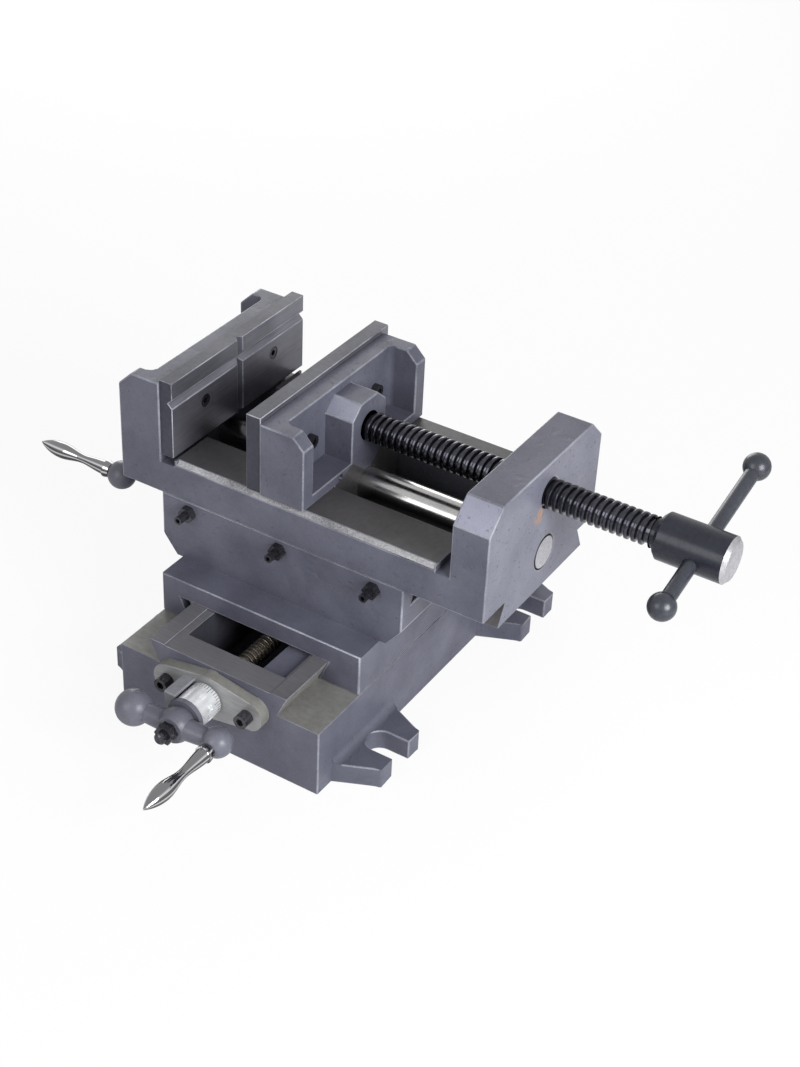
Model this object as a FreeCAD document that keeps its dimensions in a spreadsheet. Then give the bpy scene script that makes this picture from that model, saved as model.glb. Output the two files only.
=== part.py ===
import FreeCAD, Part
import os
import re
import Sketcher
from FreeCAD import Placement, Rotation, Vector

# Cross slide drill press vise: a base with a lower dovetail, a saddle that slides
# front to back on it, and a vise body that slides left to right on the saddle.
# The origin is the middle of the base's underside, +X points at the bench-side
# handle of the jaw screw, -Y at the operator's front crank, +Z up.

os.makedirs("parts", exist_ok=True)
doc = FreeCAD.newDocument("CrossSlideVise")

# Driving dimensions in millimetres and degrees, each written once.
values = {
    # base casting
    "base_length": 293,
    "base_width": 160,
    "base_height": 52,
    "way_height": 16.5,
    "way_top_width": 110,
    "way_neck_width": 95,
    "way_land": 12.2,
    "way_relief": 0.6,
    "end_wall": 18.5,
    "bed_left": 37,
    "bed_right": 21,
    "bed_floor": 24,
    "shelf_width": 20,
    "shelf_depth": 4,
    "foot_rim": 10,
    "foot_land": 30,
    "foot_relief": 3,
    # clamping ears
    "ear_spacing": 186.8,
    "ear_reach": 30,
    "ear_tip_width": 48,
    "ear_root_width": 74,
    "ear_flare": 12,
    "ear_thickness": 15.5,
    "ear_corner": 5,
    "slot_width": 20,
    "slot_depth": 26,
    "root_fillet": 6,
    # clearances
    "slide_gap": 0.1,
    "roof_gap": 0.3,
    "bearing_gap": 0.05,
    "screw_gap": 0.1,
    "seat_gap": 0.02,
    # saddle
    "saddle_rest": -4.5,
    "block_width": 160,
    "block_length": 191.4,
    "block_height": 31.2,
    "housing_length": 192,
    "housing_foot": 170,
    "housing_slope": 14,
    "housing_height": 47,
    "channel_width": 40,
    "channel_floor": 31.9,
    "screw_offset": 3.5,
    # gibs and their adjusting screws
    "gib_thickness": 8,
    "gib_room": 10.4,
    "gib_recess": 5,
    "gib_edge": 0.6,
    "adjuster_spacing": 73.5,
    "adjuster_radius": 3,
    "adjuster_reach": 12.5,
    "adjuster_drop": 7.8,
    "nut_flats": 10,
    "nut_thickness": 5,
    "socket_flats": 3,
    "socket_depth": 3,
    # vise body
    "vise_rest": -129.5,
    "body_length": 284,
    "body_width": 146,
    "rail_height": 29.3,
    "rail_gap": 80,
    "rail_chamfer": 3.5,
    "rail_chamfer_start": 46.5,
    "rail_chamfer_length": 200,
    "slide_height": 16.5,
    "slide_width": 111.5,
    "slide_neck_width": 96.5,
    "trough_depth": 7.4,
    "fixed_jaw_depth": 33.1,
    "fixed_jaw_height": 84.3,
    "fixed_rib": 10.5,
    "fixed_wall": 12.8,
    "fixed_chamfer": 10.5,
    "front_relief": 11.4,
    "rear_relief": 10,
    "relief_depth": 5,
    "outer_wall": 26.5,
    "outer_wall_height": 80.1,
    "outer_chamfer": 15,
    "recess_fillet": 4.5,
    # jaw plates
    "plate_length": 150.5,
    "plate_height": 57.2,
    "plate_lift": 0.2,
    "fixed_plate": 10,
    "moving_plate": 11.3,
    "jaw_opening": 59.4,
    "groove_width": 6.7,
    "groove_height": 41.5,
    "groove_depth": 3.3,
    "upright_width": 6,
    "plate_screw_spacing": 78,
    "plate_screw_height": 27.5,
    "plate_head_radius": 4.7,
    "plate_head_height": 4.5,
    "plate_screw_radius": 3,
    "plate_screw_length": 14,
    # movable jaw
    "jaw_depth": 34.2,
    "jaw_height": 53.6,
    "jaw_slab": 7,
    "jaw_wall": 12.7,
    "jaw_rib": 11.5,
    "jaw_chamfer": 8.5,
    "boss_width": 40,
    "boss_top_width": 20,
    "boss_height": 40.6,
    "boss_chamfer": 9,
    "oil_hole_radius": 2.5,
    "oil_hole_depth": 10,
    "oil_hole_side": 33,
    "oil_hole_height": 3.3,
    "tongue_gap": 0.3,
    # guide bar
    "guide_radius": 12.5,
    "guide_height": 10.4,
    "guide_seat": 15,
    # jaw screw and its handle
    "jaw_screw_height": 56.6,
    "jaw_screw_radius": 10.5,
    "jaw_screw_length": 209.2,
    "nose_radius": 8,
    "nose_length": 20,
    "pin_radius": 2.5,
    "pin_back": 9,
    "pin_groove_radius": 5.6,
    "neck_radius": 9.5,
    "neck_length": 4,
    "head_radius": 15.75,
    "head_length": 49,
    "head_chamfer": 2.5,
    "bar_place": 27,
    "bar_radius": 5,
    "bar_gap": 0.15,
    "bar_length": 141,
    "bar_tilt": 13.4,
    "bar_shift": 13.9,
    "bar_ball_radius": 9.15,
    "bar_ball_spacing": 132,
    # feed units: both cranks are alike
    "cross_screw_side": -2,
    "cross_screw_height": 49,
    "vise_screw_drop": 35.4,
    "feed_radius": 7,
    "collar_radius": 9.5,
    "collar_length": 6,
    "journal_radius": 6,
    "stud_radius": 4,
    "stud_length": 11.5,
    "cross_screw_length": 261.5,
    "vise_screw_length": 223,
    "flange_thickness": 8.5,
    "flange_radius": 17.2,
    "lobe_radius": 11.5,
    "bolt_side": 32,
    "bolt_rise": 29,
    "bolt_head_radius": 5,
    "bolt_head_height": 8,
    "bolt_radius": 3,
    "bolt_length": 20,
    "bolt_socket_flats": 5,
    "index_side": 9.5,
    "index_step": 4,
    "index_height": 17.5,
    "index_low": 6,
    "index_cut": 5.3,
    "dial_radius": 12.3,
    "dial_length": 20.8,
    "dial_bevel": 1,
    "index_gap": 0.9,
    "hub_disc_radius": 13,
    "hub_disc_length": 3.4,
    "hub_radius": 12,
    "hub_rise": 11.4,
    "hub_length": 18.4,
    "arm_neck": 6,
    "arm_flare": 8,
    "counter_radius": 12.4,
    "counter_side": 32.5,
    "counter_rise": 13.4,
    "counter_facet": 11.3,
    "grip_ball_radius": 10.4,
    "grip_side": 31.5,
    "grip_rise": 9.9,
    "crank_nut_flats": 12.5,
    "crank_nut_thickness": 6.5,
    "nut_seat_radius": 7.6,
    "vise_crank_turn": -7,
    # chrome handles
    "grip_length": 65.5,
    "ferrule_radius": 6.3,
    "ferrule_length": 5,
    "grip_neck_radius": 3.4,
    "grip_bulge_radius": 5.9,
    "spindle_radius": 2.3,
    "spindle_length": 13,
    "spindle_seat": 12,
    # feed nuts
    "feed_nut_width": 30,
    "feed_nut_length": 28,
    "feed_nut_drop": 13,
    "vise_nut_place": 22,
    "nut_screw_spacing": 22,
    "nut_screw_radius": 2.5,
    "nut_screw_head_radius": 4.5,
    "nut_screw_head_height": 5,
    "nut_screw_length": 20,
}

sheet = doc.addObject("Spreadsheet::Sheet", "Sizes")
for row, (name, size) in enumerate(values.items(), 1):
    sheet.set("A%d" % row, name)
    sheet.set("B%d" % row, str(size))
    sheet.setAlias("B%d" % row, name)
doc.recompute()

pieces = []
axes = ("x", "y", "z")


def formula(text):
    # Written sizes become references to the sheet's cells.
    def renamed(word):
        name = word.group(0)
        return "Sizes." + name if name in values else name

    return re.sub(r"[a-z][a-z_]+", renamed, str(text))


def number(text):
    return float(sheet.evalExpression(formula(text)))


def place_piece(piece, place, turn=None):
    spot = Vector(*[number(part) for part in place])
    piece.Placement = Placement(spot, turn or Rotation())
    for axis, part in zip(axes, place):
        piece.setExpression("Placement.Base." + axis, formula(part))


def new_body(label, place=(0, 0, 0), turn=None):
    body = doc.addObject("PartDesign::Body", label)
    body.Label = label
    place_piece(body, place, turn)
    pieces.append(body)
    return body


def new_sketch(body, role, level):
    sketch = body.newObject("Sketcher::SketchObject", "Sketch")
    plane = [part for part in body.Origin.OriginFeatures if part.Role == role][0]
    sketch.AttachmentSupport = [(plane, "")]
    sketch.MapMode = "FlatFace"
    sketch.AttachmentOffset = Placement(Vector(0, 0, number(level)), Rotation())
    sketch.setExpression("AttachmentOffset.Base.z", formula(level))
    return sketch


def bind(sketch, rules):
    # Each rule is a constraint with the formula of its value, or None.
    first = sketch.ConstraintCount
    sketch.addConstraint([rule for rule, text in rules])
    for place, (rule, text) in enumerate(rules):
        if text is not None:
            sketch.setExpression("Constraints[%d]" % (first + place), formula(text))


def add_loop(sketch, points):
    first = sketch.GeometryCount
    corners = [Vector(number(x), number(y), 0) for x, y in points]
    count = len(points)
    for place in range(count):
        sketch.addGeometry(Part.LineSegment(corners[place], corners[(place + 1) % count]), False)
    rules = []
    for place, (x, y) in enumerate(points):
        line = first + place
        after = first + (place + 1) % count
        rules.append((Sketcher.Constraint("Coincident", line, 2, after, 1), None))
        rules.append((Sketcher.Constraint("DistanceX", -1, 1, line, 1, corners[place].x), x))
        rules.append((Sketcher.Constraint("DistanceY", -1, 1, line, 1, corners[place].y), y))
    bind(sketch, rules)


def add_circle(sketch, x, y, radius):
    circle = sketch.GeometryCount
    middle = Vector(number(x), number(y), 0)
    sketch.addGeometry(Part.Circle(middle, Vector(0, 0, 1), number(radius)), False)
    rules = [
        (Sketcher.Constraint("DistanceX", -1, 1, circle, 3, middle.x), x),
        (Sketcher.Constraint("DistanceY", -1, 1, circle, 3, middle.y), y),
        (Sketcher.Constraint("Radius", circle, number(radius)), radius),
    ]
    bind(sketch, rules)


def draw(body, role, level, loops, circles):
    sketch = new_sketch(body, role, level)
    for points in loops:
        add_loop(sketch, points)
    for x, y, radius in circles:
        add_circle(sketch, x, y, radius)
    return sketch


def pad(body, role, level, length, loops=(), circles=(), middle=False):
    feature = body.newObject("PartDesign::Pad", "Pad")
    feature.Profile = draw(body, role, level, loops, circles)
    feature.setExpression("Length", formula(length))
    feature.Midplane = middle
    body.Tip = feature
    doc.recompute()


def cut(body, role, level, length, loops=(), circles=(), middle=False):
    before = body.Shape.Volume
    profile = draw(body, role, level, loops, circles)
    feature = body.newObject("PartDesign::Pocket", "Pocket")
    feature.Profile = profile
    feature.setExpression("Length", formula(length))
    feature.Midplane = middle
    feature.Reversed = not middle
    body.Tip = feature
    doc.recompute()
    if body.Shape.Volume > before - 0.01:
        raise ValueError("a pocket cut nothing in " + body.Label)


def turned(body, points, axis):
    # A closed outline turned once round an axis of the sketch on the XZ plane.
    sketch = draw(body, "XZ_Plane", 0, [points], [])
    feature = body.newObject("PartDesign::Revolution", "Revolution")
    feature.Profile = sketch
    feature.ReferenceAxis = (sketch, [axis])
    body.Tip = feature
    doc.recompute()


def soften(body, kind, size, chosen):
    # Fillet or chamfer of the edges that the test picks.
    tip = body.Tip
    names = []
    for place, edge in enumerate(tip.Shape.Edges, 1):
        if chosen(edge.BoundBox):
            names.append("Edge%d" % place)
    if not names:
        raise ValueError("no edges to soften in " + body.Label)
    feature = body.newObject("PartDesign::" + kind, kind)
    feature.Base = (tip, names)
    feature.setExpression("Radius" if kind == "Fillet" else "Size", formula(size))
    body.Tip = feature
    doc.recompute()


def near(first, second):
    return abs(first - second) < 0.02


def box_loop(left, low, right, high):
    return [(left, low), (right, low), (right, high), (left, high)]


def hexagon(x, y, flats):
    # Corners left and right, flats above and below.
    half = "(%s) / 2" % flats
    long = "(%s) / sqrt(3)" % flats
    points = []
    for side, rise in ((1, 0), (0.5, 1), (-0.5, 1), (-1, 0), (-0.5, -1), (0.5, -1)):
        points.append(("%s + %s * %s" % (x, side, long), "%s + %s * %s" % (y, rise, half)))
    return points


def tangent_hull(middle, lobes):
    # Outline that joins two equal lobes to a larger round by common tangents.
    big, rise, side, small = middle
    reach = "sqrt((%s)^2 + (%s)^2)" % (side, rise)
    part = "(((%s) - (%s)) / %s)" % (big, small, reach)
    rest = "sqrt(1 - %s^2)" % part
    along = ("((%s) / %s)" % (side, reach), "((%s) / %s)" % (rise, reach))
    across = "(%s * %s + %s * %s)" % (part, along[0], rest, along[1])
    down = "(%s * %s - %s * %s)" % (part, along[1], rest, along[0])
    foot = ("(%s) * %s" % (big, across), "(%s) * %s" % (big, down))
    tip = ("(%s) + (%s) * %s" % (side, small, across), "(%s) + (%s) * %s" % (rise, small, down))
    top = (side, "(%s) + (%s)" % (rise, small))
    if lobes == "level":
        top = (tip[0], "0 - (%s)" % tip[1])
        crown = (foot[0], "0 - (%s)" % foot[1])
        right = [foot, tip, top, crown]
    else:
        right = [foot, tip, top]
    left = [("0 - (%s)" % x, y) for x, y in reversed(right)]
    return right + left


# Derived places shared by several pieces
low_slope = "((way_top_width - way_neck_width) / 2 / way_height)"
top_slope = "((slide_width - slide_neck_width) / 2 / slide_height)"
saddle_floor = "base_height + slide_gap"
saddle_top = "(block_height + housing_height)"
vise_floor = "(base_height + 2 * slide_gap + block_height + housing_height)"
screw_line = "(saddle_rest + screw_offset)"
jaw_face = "(vise_rest + fixed_jaw_depth + fixed_plate + jaw_opening + moving_plate)"
low_roof = "(way_height + roof_gap - slide_gap)"
top_floor = "(block_height + housing_height - slide_height + slide_gap - roof_gap)"
ear_middles = ("0 - ear_spacing / 2", "ear_spacing / 2")


def low_flank(height, extra):
    # Half width of the lower dovetail at a height above the saddle's underside.
    return "(way_neck_width / 2 + %s * (%s + slide_gap) + %s)" % (low_slope, height, extra)


def top_flank(height, extra):
    # Half width of the upper dovetail at a height above the saddle's underside.
    depth = "(%s + slide_gap - (%s))" % (saddle_top, height)
    return "(slide_neck_width / 2 + %s * %s + %s)" % (top_slope, depth, extra)


def make_base():
    body = new_body("base")
    half = "base_width / 2"
    top = "base_height + way_height"
    section = [
        ("0 - " + half, 0),
        (half, 0),
        (half, "base_height"),
        ("way_neck_width / 2", "base_height"),
        ("way_top_width / 2", top),
        ("way_top_width / 2 - way_land", top),
        ("way_top_width / 2 - way_land", top + " - way_relief"),
        ("way_land - way_top_width / 2", top + " - way_relief"),
        ("way_land - way_top_width / 2", top),
        ("0 - way_top_width / 2", top),
        ("0 - way_neck_width / 2", "base_height"),
        ("0 - " + half, "base_height"),
    ]
    pad(body, "XZ_Plane", 0, "base_length", [section], middle=True)
    ears = []
    for side in ("", "0 - "):
        for middle in ear_middles:
            ears.append([
                (side + "(base_width / 2 - 4)", middle + " - ear_root_width / 2 - 4"),
                (side + "(base_width / 2)", middle + " - ear_root_width / 2"),
                (side + "(base_width / 2 + ear_flare)", middle + " - ear_tip_width / 2"),
                (side + "(base_width / 2 + ear_reach)", middle + " - ear_tip_width / 2"),
                (side + "(base_width / 2 + ear_reach)", middle + " + ear_tip_width / 2"),
                (side + "(base_width / 2 + ear_flare)", middle + " + ear_tip_width / 2"),
                (side + "(base_width / 2)", middle + " + ear_root_width / 2"),
                (side + "(base_width / 2 - 4)", middle + " + ear_root_width / 2 + 4"),
            ])
    pad(body, "XY_Plane", 0, "ear_thickness", ears)
    tip = number("base_width / 2 + ear_reach")
    thick = number("ear_thickness")
    root = number("base_width / 2")

    def ear_root(edge):
        low = near(edge.ZMin, thick) and near(edge.ZMax, thick)
        return low and near(abs(edge.XMin), root) and near(edge.XMin, edge.XMax)

    def ear_tip(edge):
        tall = near(edge.ZMin, 0) and near(edge.ZMax, thick)
        return tall and (near(edge.XMin, tip) or near(edge.XMax, -tip)) and near(edge.XMin, edge.XMax)

    soften(body, "Fillet", "root_fillet", ear_root)
    soften(body, "Fillet", "ear_corner", ear_tip)
    slots = []
    ends = []
    for side in ("", "0 - "):
        for middle in ear_middles:
            end = side + "(base_width / 2 + ear_reach - slot_depth + slot_width / 2)"
            out = side + "(base_width / 2 + ear_reach + 1)"
            slots.append(box_loop(end, middle + " - slot_width / 2", out, middle + " + slot_width / 2"))
            ends.append((end, middle, "slot_width / 2"))
    cut(body, "XY_Plane", 0, "ear_thickness + root_fillet", slots)
    cut(body, "XY_Plane", 0, "ear_thickness + root_fillet", [], ends)
    wall = "(base_length / 2 - end_wall)"
    bed = box_loop("0 - bed_left", "0 - " + wall, "bed_right", wall)
    cut(body, "XY_Plane", "bed_floor", "base_height + way_height - bed_floor", [bed])
    shelf = box_loop("bed_right", "0 - " + wall, "bed_right + shelf_width", wall)
    cut(body, "XY_Plane", top + " - shelf_depth", "shelf_depth", [shelf])
    feet = []
    for end in ("", "0 - "):
        inner = end + "foot_land / 2"
        outer = end + "(base_length / 2 - foot_rim)"
        feet.append(box_loop("foot_rim - base_width / 2", inner, "base_width / 2 - foot_rim", outer))
    cut(body, "XY_Plane", 0, "foot_relief", feet)
    bore = [("cross_screw_side", "cross_screw_height", "feed_radius + bearing_gap * 4")]
    cut(body, "XZ_Plane", wall, "end_wall", [], bore)
    collar = [("cross_screw_side", "cross_screw_height", "collar_radius + bar_gap")]
    collar_room = "(collar_length + roof_gap * 2)"
    cut(body, "XZ_Plane", "base_length / 2 - " + collar_room, collar_room, [], collar)
    bolts = []
    for side in (" - bolt_side", " + bolt_side"):
        bolts.append(("cross_screw_side" + side, "cross_screw_height", "bolt_radius + screw_gap"))
    deep = "(bolt_length - flange_thickness + 1)"
    cut(body, "XZ_Plane", "base_length / 2 - " + deep, deep, [], bolts)


def make_saddle():
    body = new_body("saddle", (0, "saddle_rest", saddle_floor))
    block = box_loop("0 - block_width / 2", 0, "block_width / 2", "block_height")
    pad(body, "XZ_Plane", 0, "block_length", [block], middle=True)
    housing = [
        ("0 - housing_foot / 2", "block_height"),
        ("housing_foot / 2", "block_height"),
        ("housing_length / 2", "block_height + housing_slope"),
        ("housing_length / 2", saddle_top),
        ("0 - housing_length / 2", saddle_top),
        ("0 - housing_length / 2", "block_height + housing_slope"),
    ]
    pad(body, "XZ_Plane", 0, "body_width", [housing], middle=True)
    low_slot = [
        ("0 - " + low_flank("0", "slide_gap + gib_room"), 0),
        (low_flank("0", "slide_gap"), 0),
        (low_flank(low_roof, "slide_gap"), low_roof),
        ("0 - " + low_flank(low_roof, "slide_gap + gib_room"), low_roof),
    ]
    cut(body, "XZ_Plane", 0, "block_length + 2", [low_slot], middle=True)
    top_slot = [
        ("screw_offset - " + top_flank(saddle_top, "slide_gap + gib_room"), saddle_top),
        ("screw_offset - " + top_flank(top_floor, "slide_gap + gib_room"), top_floor),
        ("screw_offset + " + top_flank(top_floor, "slide_gap"), top_floor),
        ("screw_offset + " + top_flank(saddle_top, "slide_gap"), saddle_top),
    ]
    cut(body, "YZ_Plane", 0, "housing_length + 2", [top_slot], middle=True)
    half = "channel_width / 2"
    channel = box_loop("screw_offset - " + half, "channel_floor", "screw_offset + " + half, top_floor)
    cut(body, "YZ_Plane", 0, "housing_length + 2", [channel], middle=True)
    low_holes = []
    top_holes = []
    for step in ("0 - adjuster_spacing", "0", "adjuster_spacing"):
        low_holes.append((step, "adjuster_drop", "adjuster_radius + screw_gap"))
        top_holes.append((step, saddle_top + " - adjuster_drop", "adjuster_radius + screw_gap"))
    wall = "block_width / 2 - " + low_flank("0", "gib_room")
    cut(body, "YZ_Plane", "0 - block_width / 2", wall, [], low_holes)
    inner = top_flank(saddle_top, "gib_room") + " - screw_offset"
    cut(body, "XZ_Plane", inner, "body_width / 2 - (%s)" % inner, [], top_holes)
    low_seats = []
    for side in (" - nut_screw_spacing / 2", " + nut_screw_spacing / 2"):
        low_seats.append(("cross_screw_side", "0" + side, "nut_screw_head_radius + screw_gap"))
    seat_depth = "(nut_screw_head_height + 1)"
    cut(body, "XY_Plane", "channel_floor - " + seat_depth, seat_depth, [], low_seats)
    shanks = [(x, y, "nut_screw_radius + screw_gap") for x, y, radius in low_seats]
    cut(body, "XY_Plane", low_roof, "channel_floor - " + low_roof, [], shanks)
    top_seats = []
    for side in (" - nut_screw_spacing / 2", " + nut_screw_spacing / 2"):
        top_seats.append(("vise_nut_place", "screw_offset" + side, "nut_screw_head_radius + screw_gap"))
    cut(body, "XY_Plane", low_roof, seat_depth, [], top_seats)
    shanks = [(x, y, "nut_screw_radius + screw_gap") for x, y, radius in top_seats]
    cut(body, "XY_Plane", low_roof, "channel_floor - " + low_roof, [], shanks)


def corner_loop(sign, top, size):
    # Triangle that takes one upper corner off the vise body's section.
    edge = sign + "(body_width / 2)"
    inner = "%s(body_width / 2 - %s)" % (sign, size)
    return [(edge, top), (inner, top), (edge, "%s - %s" % (top, size))]


def make_vise_body():
    body = new_body("vise_body", ("vise_rest", "saddle_rest", vise_floor))
    wall_start = "body_length - outer_wall"
    groove = "rail_height - relief_depth"
    side = [
        (0, 0),
        ("body_length", 0),
        ("body_length", "outer_wall_height"),
        (wall_start, "outer_wall_height"),
        (wall_start, groove),
        (wall_start + " - rear_relief", groove),
        (wall_start + " - rear_relief", "rail_height"),
        ("fixed_jaw_depth + front_relief", "rail_height"),
        ("fixed_jaw_depth + front_relief", groove),
        ("fixed_jaw_depth", groove),
        ("fixed_jaw_depth", "fixed_jaw_height"),
        ("fixed_chamfer", "fixed_jaw_height"),
        (0, "fixed_jaw_height - fixed_chamfer"),
    ]
    pad(body, "XZ_Plane", 0, "body_width", [side], middle=True)
    slide = [
        ("screw_offset - slide_neck_width / 2", 0),
        ("screw_offset - slide_width / 2", "0 - slide_height"),
        ("screw_offset + slide_width / 2", "0 - slide_height"),
        ("screw_offset + slide_neck_width / 2", 0),
    ]
    pad(body, "YZ_Plane", 0, "body_length", [slide])
    inner = "(body_width / 2 - fixed_rib)"
    recess = box_loop(0, "0 - " + inner, "fixed_jaw_depth - fixed_wall", inner)
    cut(body, "XY_Plane", "rail_height", "fixed_jaw_height - rail_height", [recess])
    corners = [corner_loop(sign, "outer_wall_height", "outer_chamfer") for sign in ("", "0 - ")]
    cut(body, "YZ_Plane", wall_start, "outer_wall", corners)
    bevels = [corner_loop(sign, "rail_height", "rail_chamfer") for sign in ("", "0 - ")]
    cut(body, "YZ_Plane", "rail_chamfer_start", "rail_chamfer_length", bevels)
    half = "rail_gap / 2"
    trough = box_loop("screw_offset - " + half, "0 - trough_depth", "screw_offset + " + half, "rail_height")
    cut(body, "YZ_Plane", "fixed_jaw_depth", wall_start + " - fixed_jaw_depth", [trough])
    guide = [("screw_offset", "guide_height", "guide_radius + bearing_gap")]
    cut(body, "YZ_Plane", "fixed_jaw_depth - guide_seat", "guide_seat", [], guide)
    cut(body, "YZ_Plane", wall_start, "outer_wall", [], guide)
    thread = [("screw_offset", "jaw_screw_height", "jaw_screw_radius + screw_gap")]
    cut(body, "YZ_Plane", wall_start, "outer_wall", [], thread)
    plate_bolts = []
    for sign in (" - plate_screw_spacing / 2", " + plate_screw_spacing / 2"):
        spot = "rail_height + plate_lift + plate_screw_height"
        plate_bolts.append(("screw_offset" + sign, spot, "plate_screw_radius + screw_gap"))
    deep = "(plate_screw_length - fixed_plate + plate_head_height)"
    cut(body, "YZ_Plane", "fixed_jaw_depth - %s" % deep, deep, [], plate_bolts)
    bracket_bolts = []
    rise = "bolt_rise - vise_screw_drop"
    for sign in (" - bolt_side", " + bolt_side"):
        bracket_bolts.append(("screw_offset" + sign, rise, "bolt_radius + screw_gap"))
    cut(body, "YZ_Plane", 0, "bolt_length - flange_thickness + 1", [], bracket_bolts)
    back = number("fixed_jaw_depth - fixed_wall")
    tall = number("fixed_jaw_height")

    def recess_corner(edge):
        upright = near(edge.XMin, back) and near(edge.XMax, back) and near(edge.YMin, edge.YMax)
        return upright and near(edge.ZMax, tall)

    soften(body, "Fillet", "recess_fillet", recess_corner)


def make_plates():
    # Ground steel plates stand above both jaws; only the fixed one is grooved.
    left = "0 - plate_length / 2"
    right = "plate_length / 2"
    floor = vise_floor + " + rail_height + plate_lift"
    place = ("vise_rest + fixed_jaw_depth", screw_line, floor)
    body = new_body("fixed_jaw_plate", place)
    pad(body, "YZ_Plane", 0, "fixed_plate", [box_loop(left, 0, right, "plate_height")])
    level = "groove_height"
    groove = [
        ("fixed_plate", level + " - groove_width / 2"),
        ("fixed_plate", level + " + groove_width / 2"),
        ("fixed_plate - groove_depth", level),
    ]
    cut(body, "XZ_Plane", 0, "plate_length + 2", [groove], middle=True)
    upright = [
        ("fixed_plate", "0 - upright_width / 2"),
        ("fixed_plate", "upright_width / 2"),
        ("fixed_plate - groove_depth", 0),
    ]
    cut(body, "XY_Plane", 0, "plate_height", [upright])
    spots = [("0" + sign + "plate_screw_spacing / 2", "plate_screw_height") for sign in (" - ", " + ")]
    heads = [(x, y, "plate_head_radius + screw_gap") for x, y in spots]
    shanks = [(x, y, "plate_screw_radius + screw_gap") for x, y in spots]
    cut(body, "YZ_Plane", "fixed_plate - plate_head_height", "plate_head_height", [], heads)
    cut(body, "YZ_Plane", 0, "fixed_plate - plate_head_height", [], shanks)
    screws = new_body("fixed_jaw_screws", place)
    heads = [(x, y, "plate_head_radius") for x, y in spots]
    shanks = [(x, y, "plate_screw_radius") for x, y in spots]
    seat = "(fixed_plate - plate_head_height)"
    shank = "(plate_screw_length - 2)"
    pad(screws, "YZ_Plane", seat, "plate_head_height - roof_gap", [], heads)
    pad(screws, "YZ_Plane", seat + " - " + shank, shank, [], shanks)
    sockets = [hexagon(x, y, "socket_flats + 1") for x, y in spots]
    cut(screws, "YZ_Plane", "fixed_plate - roof_gap - socket_depth", "socket_depth", sockets)
    place = (jaw_face, screw_line, floor)
    plate = new_body("movable_jaw_plate", place)
    pad(plate, "YZ_Plane", "0 - moving_plate", "moving_plate", [box_loop(left, 0, right, "plate_height")])
    shanks = [(x, y, "plate_screw_radius + screw_gap") for x, y in spots]
    cut(plate, "YZ_Plane", "0 - moving_plate / 2 - 2", "moving_plate / 2 + 2", [], shanks)
    screws = new_body("movable_jaw_screws", place)
    heads = [(x, y, "plate_head_radius") for x, y in spots]
    shanks = [(x, y, "plate_screw_radius") for x, y in spots]
    pad(screws, "YZ_Plane", "jaw_wall", "plate_head_height", [], heads)
    pad(screws, "YZ_Plane", "0 - moving_plate / 2", "jaw_wall + moving_plate / 2", [], shanks)
    sockets = [hexagon(x, y, "socket_flats + 1") for x, y in spots]
    cut(screws, "YZ_Plane", "jaw_wall + plate_head_height - socket_depth", "socket_depth", sockets)


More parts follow.
